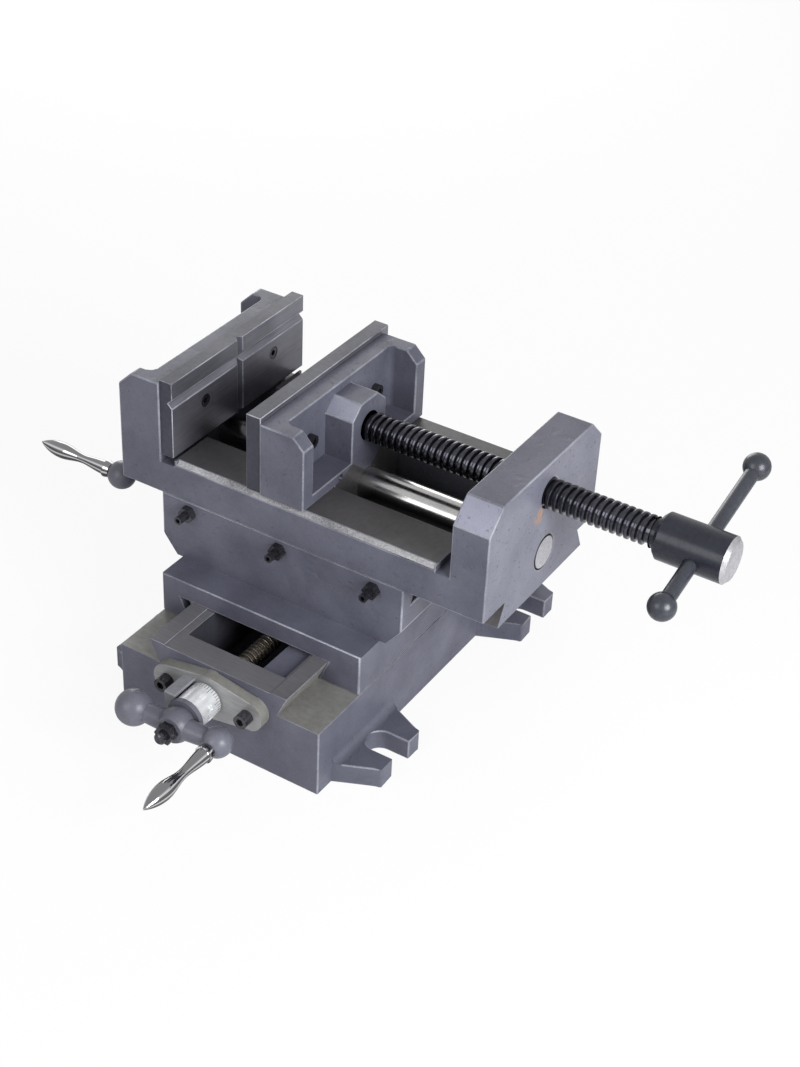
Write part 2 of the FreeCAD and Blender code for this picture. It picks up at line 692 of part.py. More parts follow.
def make_movable_jaw():
    floor = vise_floor + " + rail_height + plate_lift"
    body = new_body("movable_jaw", (jaw_face, "saddle_rest", floor))
    side = [
        (0, 0),
        ("jaw_depth", 0),
        ("jaw_depth", "jaw_height - jaw_chamfer"),
        ("jaw_depth - jaw_chamfer", "jaw_height"),
        (0, "jaw_height"),
    ]
    pad(body, "XZ_Plane", 0, "body_width", [side], middle=True)
    pocket = box_loop("jaw_wall", "jaw_rib - body_width / 2", "jaw_depth", "body_width / 2 - jaw_rib")
    cut(body, "XY_Plane", "jaw_slab", "jaw_height - jaw_slab", [pocket])
    shoulder = "jaw_slab + boss_height - boss_chamfer"
    boss = [
        ("screw_offset - boss_width / 2", "jaw_slab - 1"),
        ("screw_offset + boss_width / 2", "jaw_slab - 1"),
        ("screw_offset + boss_width / 2", shoulder),
        ("screw_offset + boss_top_width / 2", "jaw_slab + boss_height"),
        ("screw_offset - boss_top_width / 2", "jaw_slab + boss_height"),
        ("screw_offset - boss_width / 2", shoulder),
    ]
    pad(body, "YZ_Plane", "jaw_wall - 1", "jaw_depth - jaw_wall + 1", [boss])
    tongue_low = "tongue_gap - trough_depth - rail_height - plate_lift"
    half = "(rail_gap / 2 - tongue_gap)"
    tongue = box_loop("screw_offset - " + half, tongue_low, "screw_offset + " + half, "1")
    pad(body, "YZ_Plane", 0, "jaw_depth", [tongue])
    guide = [("screw_offset", "guide_height - rail_height - plate_lift", "guide_radius + bearing_gap")]
    cut(body, "YZ_Plane", 0, "jaw_depth", [], guide)
    height = "jaw_screw_height - rail_height - plate_lift"
    nose = [("screw_offset", height, "nose_radius + bearing_gap")]
    cut(body, "YZ_Plane", "jaw_depth - nose_length - roof_gap", "nose_length + roof_gap", [], nose)
    pin_height = height + " - pin_groove_radius - pin_radius - screw_gap"
    pin = [("jaw_depth - pin_back", pin_height, "pin_radius + bearing_gap")]
    cut(body, "XZ_Plane", "0 - screw_offset", "boss_width + screw_gap * 2", [], pin, middle=True)
    shanks = []
    for sign in (" - ", " + "):
        spot = "screw_offset" + sign + "plate_screw_spacing / 2"
        shanks.append((spot, "plate_screw_height", "plate_screw_radius + screw_gap"))
    cut(body, "YZ_Plane", 0, "jaw_wall", [], shanks)
    oil = [("screw_offset - oil_hole_side", "oil_hole_height", "oil_hole_radius")]
    cut(body, "YZ_Plane", "jaw_depth - oil_hole_depth", "oil_hole_depth", [], oil)
    back = number("jaw_wall")
    slab = number("jaw_slab")
    tall = number("jaw_height")

    def pocket_corner(edge):
        upright = near(edge.XMin, back) and near(edge.XMax, back) and near(edge.YMin, edge.YMax)
        return upright and near(edge.ZMin, slab) and near(edge.ZMax, tall)

    soften(body, "Fillet", "recess_fillet", pocket_corner)
    along = "%s + jaw_depth - pin_back" % jaw_face
    level = "%s + jaw_screw_height - pin_groove_radius - pin_radius - screw_gap" % vise_floor
    pin = new_body("jaw_screw_pin", (along, screw_line, level))
    pad(pin, "XZ_Plane", 0, "boss_width - screw_gap * 4", [], [(0, 0, "pin_radius")], middle=True)


def make_guide_bar():
    body = new_body("guide_bar", ("vise_rest", screw_line, vise_floor + " + guide_height"))
    inner = "(fixed_jaw_depth - guide_seat)"
    pad(body, "YZ_Plane", inner, "body_length - " + inner, [], [(0, 0, "guide_radius")])
    end = number("body_length")
    soften(body, "Chamfer", "way_relief * 2", lambda edge: near(edge.XMin, end) and near(edge.XMax, end))


def make_jaw_screw():
    body = new_body("jaw_screw", (jaw_face, screw_line, vise_floor + " + jaw_screw_height"))
    tail = "jaw_depth + roof_gap"
    neck = "jaw_depth + roof_gap + jaw_screw_length"
    head = neck + " + neck_length"
    pin = "jaw_depth - pin_back"
    half = "(pin_radius + screw_gap * 2)"
    outline = [
        ("jaw_depth - nose_length", 0),
        ("jaw_depth - nose_length", "nose_radius - 1"),
        ("jaw_depth - nose_length + 1", "nose_radius"),
        ("%s - %s" % (pin, half), "nose_radius"),
        ("%s - %s" % (pin, half), "pin_groove_radius"),
        ("%s + %s" % (pin, half), "pin_groove_radius"),
        ("%s + %s" % (pin, half), "nose_radius"),
        (tail, "nose_radius"),
        (tail, "jaw_screw_radius"),
        (neck, "jaw_screw_radius"),
        (neck, "neck_radius"),
        (head, "neck_radius"),
        (head, "head_radius - head_chamfer"),
        (head + " + head_chamfer", "head_radius"),
        (head + " + head_length - head_chamfer", "head_radius"),
        (head + " + head_length", "head_radius - head_chamfer"),
        (head + " + head_length", 0),
    ]
    turned(body, outline, "H_Axis")
    sketch = new_sketch(body, "XY_Plane", 0)
    sketch.AttachmentOffset = Placement(Vector(0, 0, 0), Rotation(Vector(1, 0, 0), number("bar_tilt - 90")))
    add_circle(sketch, head + " + bar_place", 0, "bar_radius + bar_gap")
    before = body.Shape.Volume
    feature = body.newObject("PartDesign::Pocket", "Pocket")
    feature.Profile = sketch
    feature.setExpression("Length", formula("head_radius * 3"))
    feature.Midplane = True
    body.Tip = feature
    doc.recompute()
    if body.Shape.Volume > before - 0.01:
        raise ValueError("the handle hole cut nothing")


def primitive(kind, place, turn=None, **sizes):
    part = doc.addObject("Part::" + kind, kind)
    for key, text in sizes.items():
        part.setExpression(key, formula(text))
    place_piece(part, place, turn)
    return part


def combined(kind, parts, label):
    # The first part with the others added to it or taken from it.
    if kind == "MultiFuse":
        result = doc.addObject("Part::MultiFuse", label)
        result.Shapes = parts
        return result
    tools = parts[1]
    if len(parts) > 2:
        tools = doc.addObject("Part::MultiFuse", label + "Tools")
        tools.Shapes = parts[1:]
    result = doc.addObject("Part::Cut", label)
    result.Base = parts[0]
    result.Tool = tools
    return result


def finish_piece(result, label, place, turn):
    result.Label = label
    place_piece(result, place, turn)
    doc.recompute()
    pieces.append(result)


def make_handle_bar():
    along = "%s + jaw_depth + roof_gap + jaw_screw_length + neck_length + bar_place" % jaw_face
    place = (along, screw_line, vise_floor + " + jaw_screw_height")
    turn = Rotation(Vector(1, 0, 0), number("bar_tilt - 90"))
    bar = new_body("handle_bar", place, turn)
    pad(bar, "XY_Plane", "bar_shift - bar_length / 2", "bar_length", [], [(0, 0, "bar_radius")])
    balls = []
    for side in (" - ", " + "):
        middle = "bar_shift" + side + "bar_ball_spacing / 2"
        balls.append(primitive("Sphere", (0, 0, middle), Radius="bar_ball_radius"))
    pair = combined("MultiFuse", balls, "BallPair")
    room = "bar_length + screw_gap * 2"
    low = "bar_shift - (%s) / 2" % room
    hole = primitive("Cylinder", (0, 0, low), Radius="bar_radius + seat_gap", Height=room)
    finish_piece(combined("Cut", [pair, hole], "HandleBalls"), "handle_balls", place, turn)


def make_gibs():
    saddle_place = (0, "saddle_rest", saddle_floor)
    low = "gib_edge"
    high = "way_height - gib_edge"
    inner = "slide_gap"
    outer = "slide_gap + gib_thickness"
    strip = [
        ("0 - " + low_flank(low, inner), low),
        ("0 - " + low_flank(high, inner), high),
        ("0 - " + low_flank(high, outer), high),
        ("0 - " + low_flank(low, outer), low),
    ]
    gib = new_body("cross_gib", saddle_place)
    pad(gib, "XZ_Plane", 0, "block_length - 2 * gib_recess", [strip], middle=True)
    low = "(%s + gib_edge)" % top_floor
    high = "(%s - gib_edge)" % saddle_top
    strip = [
        ("screw_offset - " + top_flank(low, inner), low),
        ("screw_offset - " + top_flank(high, inner), high),
        ("screw_offset - " + top_flank(high, outer), high),
        ("screw_offset - " + top_flank(low, outer), low),
    ]
    gib = new_body("vise_gib", saddle_place)
    pad(gib, "YZ_Plane", 0, "housing_length - 2 * gib_recess", [strip], middle=True)
    room = "slide_gap * 2 + gib_thickness"
    tip = low_flank("(adjuster_drop + adjuster_radius)", room)
    end = "block_width / 2 + adjuster_reach"
    span = ("0 - (%s)" % end, "%s - %s" % (end, tip))
    make_adjusters("cross", "YZ_Plane", span, "adjuster_drop", "0 - block_width / 2 - nut_thickness", False)
    tip = "(%s - screw_offset)" % top_flank("(%s - adjuster_drop - adjuster_radius)" % saddle_top, room)
    end = "body_width / 2 + adjuster_reach"
    span = (tip, "%s - %s" % (end, tip))
    make_adjusters("vise", "XZ_Plane", span, "%s - adjuster_drop" % saddle_top, "body_width / 2", True)


def make_adjusters(name, role, span, height, nut_start, outward):
    # Three screws that press the gib, each with its lock nut.
    start, length = span
    place = (0, "saddle_rest", saddle_floor)
    steps = ("0 - adjuster_spacing", "0", "adjuster_spacing")
    screws = new_body(name + "_gib_screws", place)
    pad(screws, role, start, length, [], [(step, height, "adjuster_radius") for step in steps])
    mouth = start
    if outward:
        mouth = "%s + %s - socket_depth" % (start, length)
    cut(screws, role, mouth, "socket_depth", [hexagon(step, height, "socket_flats") for step in steps])
    nuts = new_body(name + "_gib_nuts", place)
    rings = [(step, height, "adjuster_radius + screw_gap") for step in steps]
    pad(nuts, role, nut_start, "nut_thickness", [hexagon(step, height, "nut_flats") for step in steps], rings)


def make_feed_nuts():
    top = "base_height + way_height + roof_gap - cross_screw_height"
    place = ("cross_screw_side", "saddle_rest", "cross_screw_height")
    nut = new_body("cross_nut", place)
    loop = box_loop("0 - feed_nut_width / 2", "0 - feed_nut_drop", "feed_nut_width / 2", top)
    bore = [(0, 0, "feed_radius + screw_gap")]
    pad(nut, "XZ_Plane", 0, "feed_nut_length", [loop], bore, middle=True)
    spots = ["0" + sign + "nut_screw_spacing / 2" for sign in (" - ", " + ")]
    holes = [(0, spot, "nut_screw_radius + screw_gap") for spot in spots]
    heads = [(0, spot, "nut_screw_head_radius") for spot in spots]
    shanks = [(0, spot, "nut_screw_radius") for spot in spots]
    seat = "base_height + slide_gap + channel_floor - nut_screw_head_height - 1 - cross_screw_height"
    depth = "nut_screw_length - (%s) + (%s)" % (seat, top)
    cut(nut, "XY_Plane", "%s - (%s) - 1" % (top, depth), "%s + 1" % depth, [], holes)
    screws = new_body("cross_nut_screws", place)
    pad(screws, "XY_Plane", seat, "nut_screw_head_height", [], heads)
    pad(screws, "XY_Plane", seat + " - nut_screw_length", "nut_screw_length", [], shanks)
    place = ("vise_nut_place", screw_line, vise_floor + " - vise_screw_drop")
    below = "(%s) + vise_screw_drop" % vise_floor
    floor = "base_height + slide_gap + channel_floor - " + below
    nut = new_body("vise_nut", place)
    loop = box_loop("0 - feed_nut_width / 2", floor, "feed_nut_width / 2", "feed_nut_drop")
    pad(nut, "YZ_Plane", 0, "feed_nut_length", [loop], bore, middle=True)
    seat = "base_height + slide_gap + %s + nut_screw_head_height + 1 - %s" % (low_roof, below)
    cut(nut, "XY_Plane", floor, "nut_screw_length + (%s) - (%s) + 1" % (seat, floor), [], holes)
    screws = new_body("vise_nut_screws", place)
    pad(screws, "XY_Plane", seat + " - nut_screw_head_height", "nut_screw_head_height", [], heads)
    pad(screws, "XY_Plane", seat, "nut_screw_length", [], shanks)


def make_bracket(name, place, turn, rise):
    # Flange with a lobe for each bolt, and the block that carries the index line.
    lobes = "level" if rise == "0" else "raised"
    bracket = new_body(name + "_bracket", place, turn)
    hull = tangent_hull(("flange_radius", rise, "bolt_side", "lobe_radius"), lobes)
    pad(bracket, "XY_Plane", 0, "flange_thickness", [hull])
    pad(bracket, "XY_Plane", 0, "flange_thickness", [], [(0, 0, "flange_radius")])
    spots = [("0 - bolt_side", rise), ("bolt_side", rise)]
    pad(bracket, "XY_Plane", 0, "flange_thickness", [], [(x, y, "lobe_radius") for x, y in spots])
    edge = "(dial_radius + index_gap)"
    block = [
        ("0 - %s - index_cut" % edge, "0 - index_low"),
        ("0 - " + edge, "0 - index_low"),
        ("0 - " + edge, "index_step"),
        ("0 - index_side", "index_side"),
        ("0 - index_side", "index_height - index_low"),
        ("0 - %s - index_cut" % edge, "index_height - index_low"),
    ]
    pad(bracket, "XY_Plane", "flange_thickness - 1", "dial_length + roof_gap + 1", [block])
    cut(bracket, "XY_Plane", 0, "flange_thickness", [], [(0, 0, "journal_radius + bearing_gap")])
    cut(bracket, "XY_Plane", 0, "flange_thickness", [], [(x, y, "bolt_radius + screw_gap") for x, y in spots])
    bolts = new_body(name + "_bracket_screws", place, turn)
    heads = [(x, y, "bolt_head_radius") for x, y in spots]
    shanks = [(x, y, "bolt_radius") for x, y in spots]
    pad(bolts, "XY_Plane", "flange_thickness", "bolt_head_height", [], heads)
    pad(bolts, "XY_Plane", "flange_thickness - bolt_length", "bolt_length", [], shanks)
    sockets = [hexagon(x, y, "bolt_socket_flats") for x, y in spots]
    cut(bolts, "XY_Plane", "flange_thickness + bolt_head_height - socket_depth", "socket_depth", sockets)


def grip_shape(side, base):
    # Turned handle: a ferrule, a slim neck, a full bulge and a pointed end.
    long = number("grip_length")
    ferrule = number("ferrule_length")
    collar = number("ferrule_radius")
    neck = number("grip_neck_radius")
    bulge = number("grip_bulge_radius")
    body = long - ferrule
    spots = [
        (collar - 1, 0),
        (neck + (collar - neck) * 0.36, 0.16),
        (neck, 0.37),
        (bulge, 0.63),
        (bulge * 0.66, 0.87),
        (0, 1),
    ]
    swell = Part.BSplineCurve()
    swell.interpolate([Vector(side + radius, 0, base + ferrule + share * body) for radius, share in spots])
    outline = [(0, 0), (collar - 0.9, 0), (collar, ferrule - 1), (collar, ferrule), (collar - 1, ferrule)]
    corners = [Vector(side + radius, 0, base + rise) for radius, rise in outline]
    edges = [Part.LineSegment(start, end).toShape() for start, end in zip(corners, corners[1:])]
    edges.append(swell.toShape())
    edges.append(Part.LineSegment(Vector(side, 0, base + long), corners[0]).toShape())
    solid = Part.Face(Part.Wire(edges)).revolve(corners[0], Vector(0, 0, 1), 360)
    bore = number("spindle_radius + screw_gap")
    return solid.cut(Part.makeCylinder(bore, number("spindle_length + roof_gap * 2"), corners[0]))


def make_crank(name, place, turn, start):
    # Ball crank: hub, counterweight ball and handle ball joined by tapered necks.
    hub = "(%s + hub_rise)" % start
    crown = "asin((hub_length - hub_rise) / hub_radius)"
    parts = [
        primitive("Cylinder", (0, 0, start), Radius="hub_disc_radius", Height="hub_disc_length"),
        primitive("Sphere", (0, 0, hub), Radius="hub_radius", Angle2=crown),
    ]
    balls = (
        ("0 - counter_side", "counter_rise", "counter_radius", "asin(counter_facet / counter_radius)"),
        ("grip_side", "grip_rise", "grip_ball_radius", "asin(0.9)"),
    )
    for side, rise, radius, facet in balls:
        parts.append(primitive("Sphere", (side, 0, "%s + %s" % (start, rise)), Radius=radius, Angle2=facet))
        lift = "(%s - hub_rise)" % rise
        lean = Rotation(Vector(0, 0, 1), Vector(number(side), 0, number(lift)))
        reach = "sqrt((%s)^2 + %s^2)" % (side, lift)
        arm = primitive("Cone", (0, 0, hub), lean, Radius1="arm_flare", Radius2="arm_neck", Height=reach)
        parts.append(arm)
    whole = combined("MultiFuse", parts, name + "Crank")
    top = start + " + hub_length"
    seat = "(%s + grip_rise + grip_ball_radius * 0.9)" % start
    foot = seat + " - spindle_seat"
    wide = "journal_radius + seat_gap"
    narrow = "spindle_radius + seat_gap"
    tools = [
        primitive("Cylinder", (0, 0, start + " - 1"), Radius=wide, Height="hub_length + 2"),
        primitive("Cylinder", (0, 0, top), Radius="nut_seat_radius", Height="crank_nut_thickness"),
        primitive("Cylinder", ("grip_side", 0, foot), Radius=narrow, Height="spindle_seat + 2"),
    ]
    finish_piece(combined("Cut", [whole] + tools, name + "Bored"), name + "_crank", place, turn)
    spindle = new_body(name + "_handle_spindle", place, turn)
    pad(spindle, "XY_Plane", foot, "spindle_seat + spindle_length", [], [("grip_side", 0, "spindle_radius")])
    grip = doc.addObject("Part::Feature", name + "Grip")
    grip.Shape = grip_shape(number("grip_side"), number(seat + " + slide_gap * 2"))
    finish_piece(grip, name + "_handle", place, turn)
    nut = new_body(name + "_crank_nut", place, turn)
    ring = [(0, 0, "stud_radius + seat_gap")]
    pad(nut, "XY_Plane", top, "crank_nut_thickness", [hexagon("0", "0", "crank_nut_flats")], ring)


def make_feed(name, place, turn, crank_turn, rise, length):
    # One feed: its screw, bracket, dial and crank; Z of this unit points outward.
    start = "(flange_thickness + roof_gap + dial_length)"
    screw = new_body(name + "_feed_screw", place, turn)
    shoulder = "%s + hub_length" % start
    outline = [
        (0, "0 - " + length),
        ("feed_radius - 1", "0 - " + length),
        ("feed_radius", "1 - " + length),
        ("feed_radius", "0 - roof_gap - collar_length"),
        ("collar_radius", "0 - roof_gap - collar_length"),
        ("collar_radius", "0 - roof_gap"),
        ("journal_radius", "0 - roof_gap"),
        ("journal_radius", shoulder),
        ("stud_radius", shoulder),
        ("stud_radius", shoulder + " + stud_length - 1"),
        ("stud_radius - 1", shoulder + " + stud_length"),
        (0, shoulder + " + stud_length"),
    ]
    turned(screw, outline, "V_Axis")
    make_bracket(name, place, turn, rise)
    dial = new_body(name + "_dial", place, turn)
    inner = "journal_radius + seat_gap"
    ring = [
        (inner, "flange_thickness + roof_gap"),
        ("dial_radius - dial_bevel", "flange_thickness + roof_gap"),
        ("dial_radius", "flange_thickness + roof_gap + dial_bevel"),
        ("dial_radius", start + " - dial_bevel"),
        ("dial_radius - dial_bevel", start),
        (inner, start),
    ]
    turned(dial, ring, "V_Axis")
    make_crank(name, place, turn * Rotation(Vector(0, 0, 1), crank_turn), start)


make_base()
make_saddle()
make_gibs()
make_vise_body()
make_plates()
make_movable_jaw()
make_guide_bar()
make_jaw_screw()
make_handle_bar()
make_feed_nuts()
front = Rotation(Vector(1, 0, 0), 90)
left = Rotation(Vector(0, 0, 1), -90) * front
cross_place = ("cross_screw_side", "0 - base_length / 2", "cross_screw_height")
make_feed("cross", cross_place, front, 0, "0", "cross_screw_length")
vise_place = ("vise_rest", screw_line, "%s - vise_screw_drop" % vise_floor)
make_feed("vise", vise_place, left, number("vise_crank_turn"), "bolt_rise", "vise_screw_length")
doc.recompute()

for thing in doc.Objects:
    if "Invalid" in thing.State or "Error" in thing.State:
        raise ValueError("%s (%s) did not compute: %s" % (thing.Name, thing.Label, thing.State))
for piece in pieces:
    if piece.Shape.isNull() or not piece.Shape.isValid() or not piece.Shape.Solids:
        raise ValueError(piece.Label + " has no valid solid")
for piece in pieces:
    piece.Shape.exportStep("parts/%s.step" % piece.Label)
    box = piece.Shape.BoundBox
    sides = (box.XMin, box.XMax, box.YMin, box.YMax, box.ZMin, box.ZMax)
    line = "%-24s %d  x %.1f %.1f  y %.1f %.1f  z %.1f %.1f"
    print(line % (piece.Label, len(piece.Shape.Solids), *sides))
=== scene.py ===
import bpy
import bmesh
import math
from mathutils import Matrix, Vector


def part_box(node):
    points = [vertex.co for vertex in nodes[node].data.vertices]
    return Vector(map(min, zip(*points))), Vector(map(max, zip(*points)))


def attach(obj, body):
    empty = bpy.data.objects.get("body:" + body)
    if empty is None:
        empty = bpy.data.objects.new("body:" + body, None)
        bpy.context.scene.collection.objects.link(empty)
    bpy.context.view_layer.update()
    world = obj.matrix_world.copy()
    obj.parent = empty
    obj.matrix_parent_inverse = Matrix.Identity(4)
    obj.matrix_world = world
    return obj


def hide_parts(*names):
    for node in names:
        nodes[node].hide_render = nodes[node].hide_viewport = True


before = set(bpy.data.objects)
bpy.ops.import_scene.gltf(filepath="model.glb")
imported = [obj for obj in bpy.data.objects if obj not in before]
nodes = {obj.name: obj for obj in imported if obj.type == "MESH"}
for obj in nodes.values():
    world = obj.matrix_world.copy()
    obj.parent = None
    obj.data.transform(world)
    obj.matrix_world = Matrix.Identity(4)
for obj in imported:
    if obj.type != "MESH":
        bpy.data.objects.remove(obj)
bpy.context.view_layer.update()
mm = 0.001
collection = bpy.context.scene.collection
print("cross slide vise: frame loaded, %d nodes" % len(nodes))


def link(tree, source, target):
    tree.links.new(source, target)


def newGroup(name, inputs, outputs, treeKind="ShaderNodeTree"):
    group = bpy.data.node_groups.new(name, treeKind)
    for label, kind, value in inputs:
        socket = group.interface.new_socket(label, in_out="INPUT", socket_type="NodeSocket" + kind)
        if value is not None:
            socket.default_value = value
    for label, kind in outputs:
        group.interface.new_socket(label, in_out="OUTPUT", socket_type="NodeSocket" + kind)
    return group, group.nodes.new("NodeGroupInput"), group.nodes.new("NodeGroupOutput")


def geometryGroup(name, numbers):
    inputs = [("Geometry", "Geometry", None)] + [(label, "Float", None) for label in numbers]
    inputs.append(("Finish", "Material", None))
    tree, entry, sink = newGroup(name, inputs, [("Geometry", "Geometry")], "GeometryNodeTree")
    return tree, tree.nodes.new, entry.outputs, sink.inputs["Geometry"]


def noiseNode(tree, vector, scale, detail=4.0, rough=0.55):
    node = tree.nodes.new("ShaderNodeTexNoise")
    node.inputs["Detail"].default_value = detail
    node.inputs["Roughness"].default_value = rough
    if isinstance(scale, (int, float)):
        node.inputs["Scale"].default_value = scale
    else:
        link(tree, scale, node.inputs["Scale"])
    link(tree, vector, node.inputs["Vector"])
    return node.outputs["Fac"]


def rampNode(tree, source, low, high, lowValue=0.0, highValue=1.0):
    node = tree.nodes.new("ShaderNodeMapRange")
    node.inputs["From Min"].default_value = low
    node.inputs["From Max"].default_value = high
    node.inputs["To Min"].default_value = lowValue
    node.inputs["To Max"].default_value = highValue
    link(tree, source, node.inputs["Value"])
    return node.outputs["Result"]


def mathNode(tree, operation, first, second):
    node = tree.nodes.new("ShaderNodeMath")
    node.operation = operation
    for place, value in enumerate((first, second)):
        if isinstance(value, (int, float)):
            node.inputs[place].default_value = value
        else:
            link(tree, value, node.inputs[place])
    return node.outputs[0]


skinSizes = {
    "specks": 420.0, "speckRange": (0.29, 0.345),
    "dents": 85.0, "dentRange": (0.26, 0.42), "dentDepth": 0.7,
    "grainDepth": 0.35, "softShare": 0.72, "fineShare": 0.28,
}


def makeCastSkin():  # sand-cast surface under satin paint
    group, source, sink = newGroup(
        "castSkin",
        [("Vector", "Vector", None), ("Grain", "Float", 900.0), ("Patch", "Float", 28.0)],
        [("Height", "Float"), ("Tone", "Float"), ("Pits", "Float")],
    )
    place = source.outputs["Vector"]
    fine = noiseNode(group, place, source.outputs["Grain"], 3.0)
    soft = noiseNode(group, place, source.outputs["Patch"], 5.0)
    speck = noiseNode(group, place, skinSizes["specks"], 2.0)
    dent = noiseNode(group, place, skinSizes["dents"], 2.0)
    pits = rampNode(group, speck, *skinSizes["speckRange"], 1.0, 0.0)
    dents = rampNode(group, dent, *skinSizes["dentRange"], skinSizes["dentDepth"], 0.0)
    grainHeight = mathNode(group, "MULTIPLY", fine, skinSizes["grainDepth"])
    total = mathNode(group, "ADD", grainHeight, soft)
    pitted = mathNode(group, "SUBTRACT", total, pits)
    dented = mathNode(group, "SUBTRACT", pitted, dents)
    softTone = mathNode(group, "MULTIPLY", soft, skinSizes["softShare"])
    fineTone = mathNode(group, "MULTIPLY", fine, skinSizes["fineShare"])
    tone = mathNode(group, "ADD", softTone, fineTone)
    link(group, dented, sink.inputs["Height"])
    link(group, tone, sink.inputs["Tone"])
    link(group, pits, sink.inputs["Pits"])
    return group


def makeToolMarks():  # parallel scratches left by a grinding wheel or shaper
    group, source, sink = newGroup(
        "toolMarks",
        [("Vector", "Vector", None), ("Spread", "Vector", (30.0, 900.0, 900.0))],
        [("Height", "Float"), ("Tone", "Float")],
    )
    stretch = group.nodes.new("ShaderNodeVectorMath")
    stretch.operation = "MULTIPLY"
    link(group, source.outputs["Vector"], stretch.inputs[0])
    link(group, source.outputs["Spread"], stretch.inputs[1])
    lines = noiseNode(group, stretch.outputs["Vector"], 1.0, 4.0, 0.6)
    cloud = noiseNode(group, source.outputs["Vector"], 22.0, 4.0)
    lineTone = mathNode(group, "MULTIPLY", lines, 0.45)
    cloudTone = mathNode(group, "MULTIPLY", cloud, 0.55)
    both = mathNode(group, "ADD", lineTone, cloudTone)
    link(group, lines, sink.inputs["Height"])
    link(group, both, sink.inputs["Tone"])
    return group


castSkin = makeCastSkin()
toolMarks = makeToolMarks()


def newMaterial(name):
    material = bpy.data.materials.new(name)
    material.use_nodes = True
    tree = material.node_tree
    shader = tree.nodes["Principled BSDF"]
    coord = tree.nodes.new("ShaderNodeTexCoord")
    return material, tree, shader, coord


def mixColours(tree, factor, first, second, target):
    mix = tree.nodes.new("ShaderNodeMix")
    mix.data_type = "RGBA"
    mix.inputs["A"].default_value = (*first, 1.0)
    mix.inputs["B"].default_value = (*second, 1.0)
    if factor is not None:
        link(tree, factor, mix.inputs["Factor"])
    link(tree, mix.outputs["Result"], target)
    return mix


def bumpFrom(tree, height, strength, distance, shader):
    bump = tree.nodes.new("ShaderNodeBump")
    bump.inputs["Strength"].default_value = strength
    bump.inputs["Distance"].default_value = distance
    link(tree, height, bump.inputs["Height"])
    link(tree, bump.outputs["Normal"], shader.inputs["Normal"])


def castPaint(name, dark, light, rough, grain=900.0, bump=0.25, pits=0.0):
    material, tree, shader, coord = newMaterial(name)
    skin = tree.nodes.new("ShaderNodeGroup")
    skin.node_tree = castSkin
    skin.inputs["Grain"].default_value = grain
    link(tree, coord.outputs["Object"], skin.inputs["Vector"])
    tone = rampNode(tree, skin.outputs["Tone"], 0.32, 0.68)
    mix = mixColours(tree, tone, dark, light, shader.inputs["Base Color"])
    if pits:
        depth = mathNode(tree, "MULTIPLY", skin.outputs["Pits"], pits)
        speck = mixColours(tree, depth, light, (0.02, 0.02, 0.025), shader.inputs["Base Color"])
        link(tree, mix.outputs["Result"], speck.inputs["A"])
    sheen = rampNode(tree, skin.outputs["Tone"], 0.3, 0.7, rough + 0.07, rough - 0.07)
    link(tree, sheen, shader.inputs["Roughness"])
    shader.inputs["Specular IOR Level"].default_value = 0.32
    bumpFrom(tree, skin.outputs["Height"], bump, 0.0005, shader)
    return material


def rustedPaint(name, base, spot, reach):  # a paint with one rust-stained spot
    material = finishes[base].copy()
    material.name = name
    tree = material.node_tree
    shader = tree.nodes["Principled BSDF"]
    coord = [node for node in tree.nodes if node.type == "TEX_COORD"][0]
    below = shader.inputs["Base Color"].links[0].from_socket
    span = tree.nodes.new("ShaderNodeVectorMath")
    span.operation = "DISTANCE"
    span.inputs[1].default_value = spot
    link(tree, coord.outputs["Object"], span.inputs[0])
    edge = rampNode(tree, span.outputs["Value"], reach * 0.35, reach, 1.0, 0.0)
    cloud = noiseNode(tree, coord.outputs["Object"], 330.0, 4.0)
    patch = rampNode(tree, cloud, 0.44, 0.58)
    stain = mathNode(tree, "MULTIPLY", edge, patch)
    mix = mixColours(tree, stain, (0, 0, 0), (0.36, 0.17, 0.06), shader.inputs["Base Color"])
    link(tree, below, mix.inputs["A"])
    return material


def chromePlate(name, reflectionBands):  # chrome with a painted reflection: darker where it faces the horizon
    material, tree, shader, coord = newMaterial(name)
    split = tree.nodes.new("ShaderNodeSeparateXYZ")
    link(tree, coord.outputs["Normal"], split.inputs[0])
    # painted reflection: the colour follows how far the surface faces up or down
    level = rampNode(tree, split.outputs["Z"], -1.0, 1.0)
    ramp = tree.nodes.new("ShaderNodeValToRGB")
    while len(ramp.color_ramp.elements) < len(reflectionBands):
        ramp.color_ramp.elements.new(0.5)
    for stop, (place, tone) in zip(ramp.color_ramp.elements, reflectionBands):
        stop.position = place
        stop.color = (tone, tone, tone * 1.03, 1.0)
    link(tree, level, ramp.inputs["Fac"])
    link(tree, ramp.outputs["Color"], shader.inputs["Base Color"])
    shader.inputs["Metallic"].default_value = 1.0
    shader.inputs["Roughness"].default_value = 0.07
    return material


def groundMetal(name, dark, light, rough, spread, metallic=0.85, bump=0.12, specular=0.5):
    material, tree, shader, coord = newMaterial(name)
    marks = tree.nodes.new("ShaderNodeGroup")
    marks.node_tree = toolMarks
    marks.inputs["Spread"].default_value = spread
    link(tree, coord.outputs["Object"], marks.inputs["Vector"])
    tone = rampNode(tree, marks.outputs["Tone"], 0.35, 0.65)
    mixColours(tree, tone, dark, light, shader.inputs["Base Color"])
    sheen = rampNode(tree, marks.outputs["Tone"], 0.3, 0.7, rough + 0.08, rough - 0.06)
    link(tree, sheen, shader.inputs["Roughness"])
    shader.inputs["Metallic"].default_value = metallic
    shader.inputs["Specular IOR Level"].default_value = specular
    bumpFrom(tree, marks.outputs["Height"], bump, 0.0001, shader)
    return material


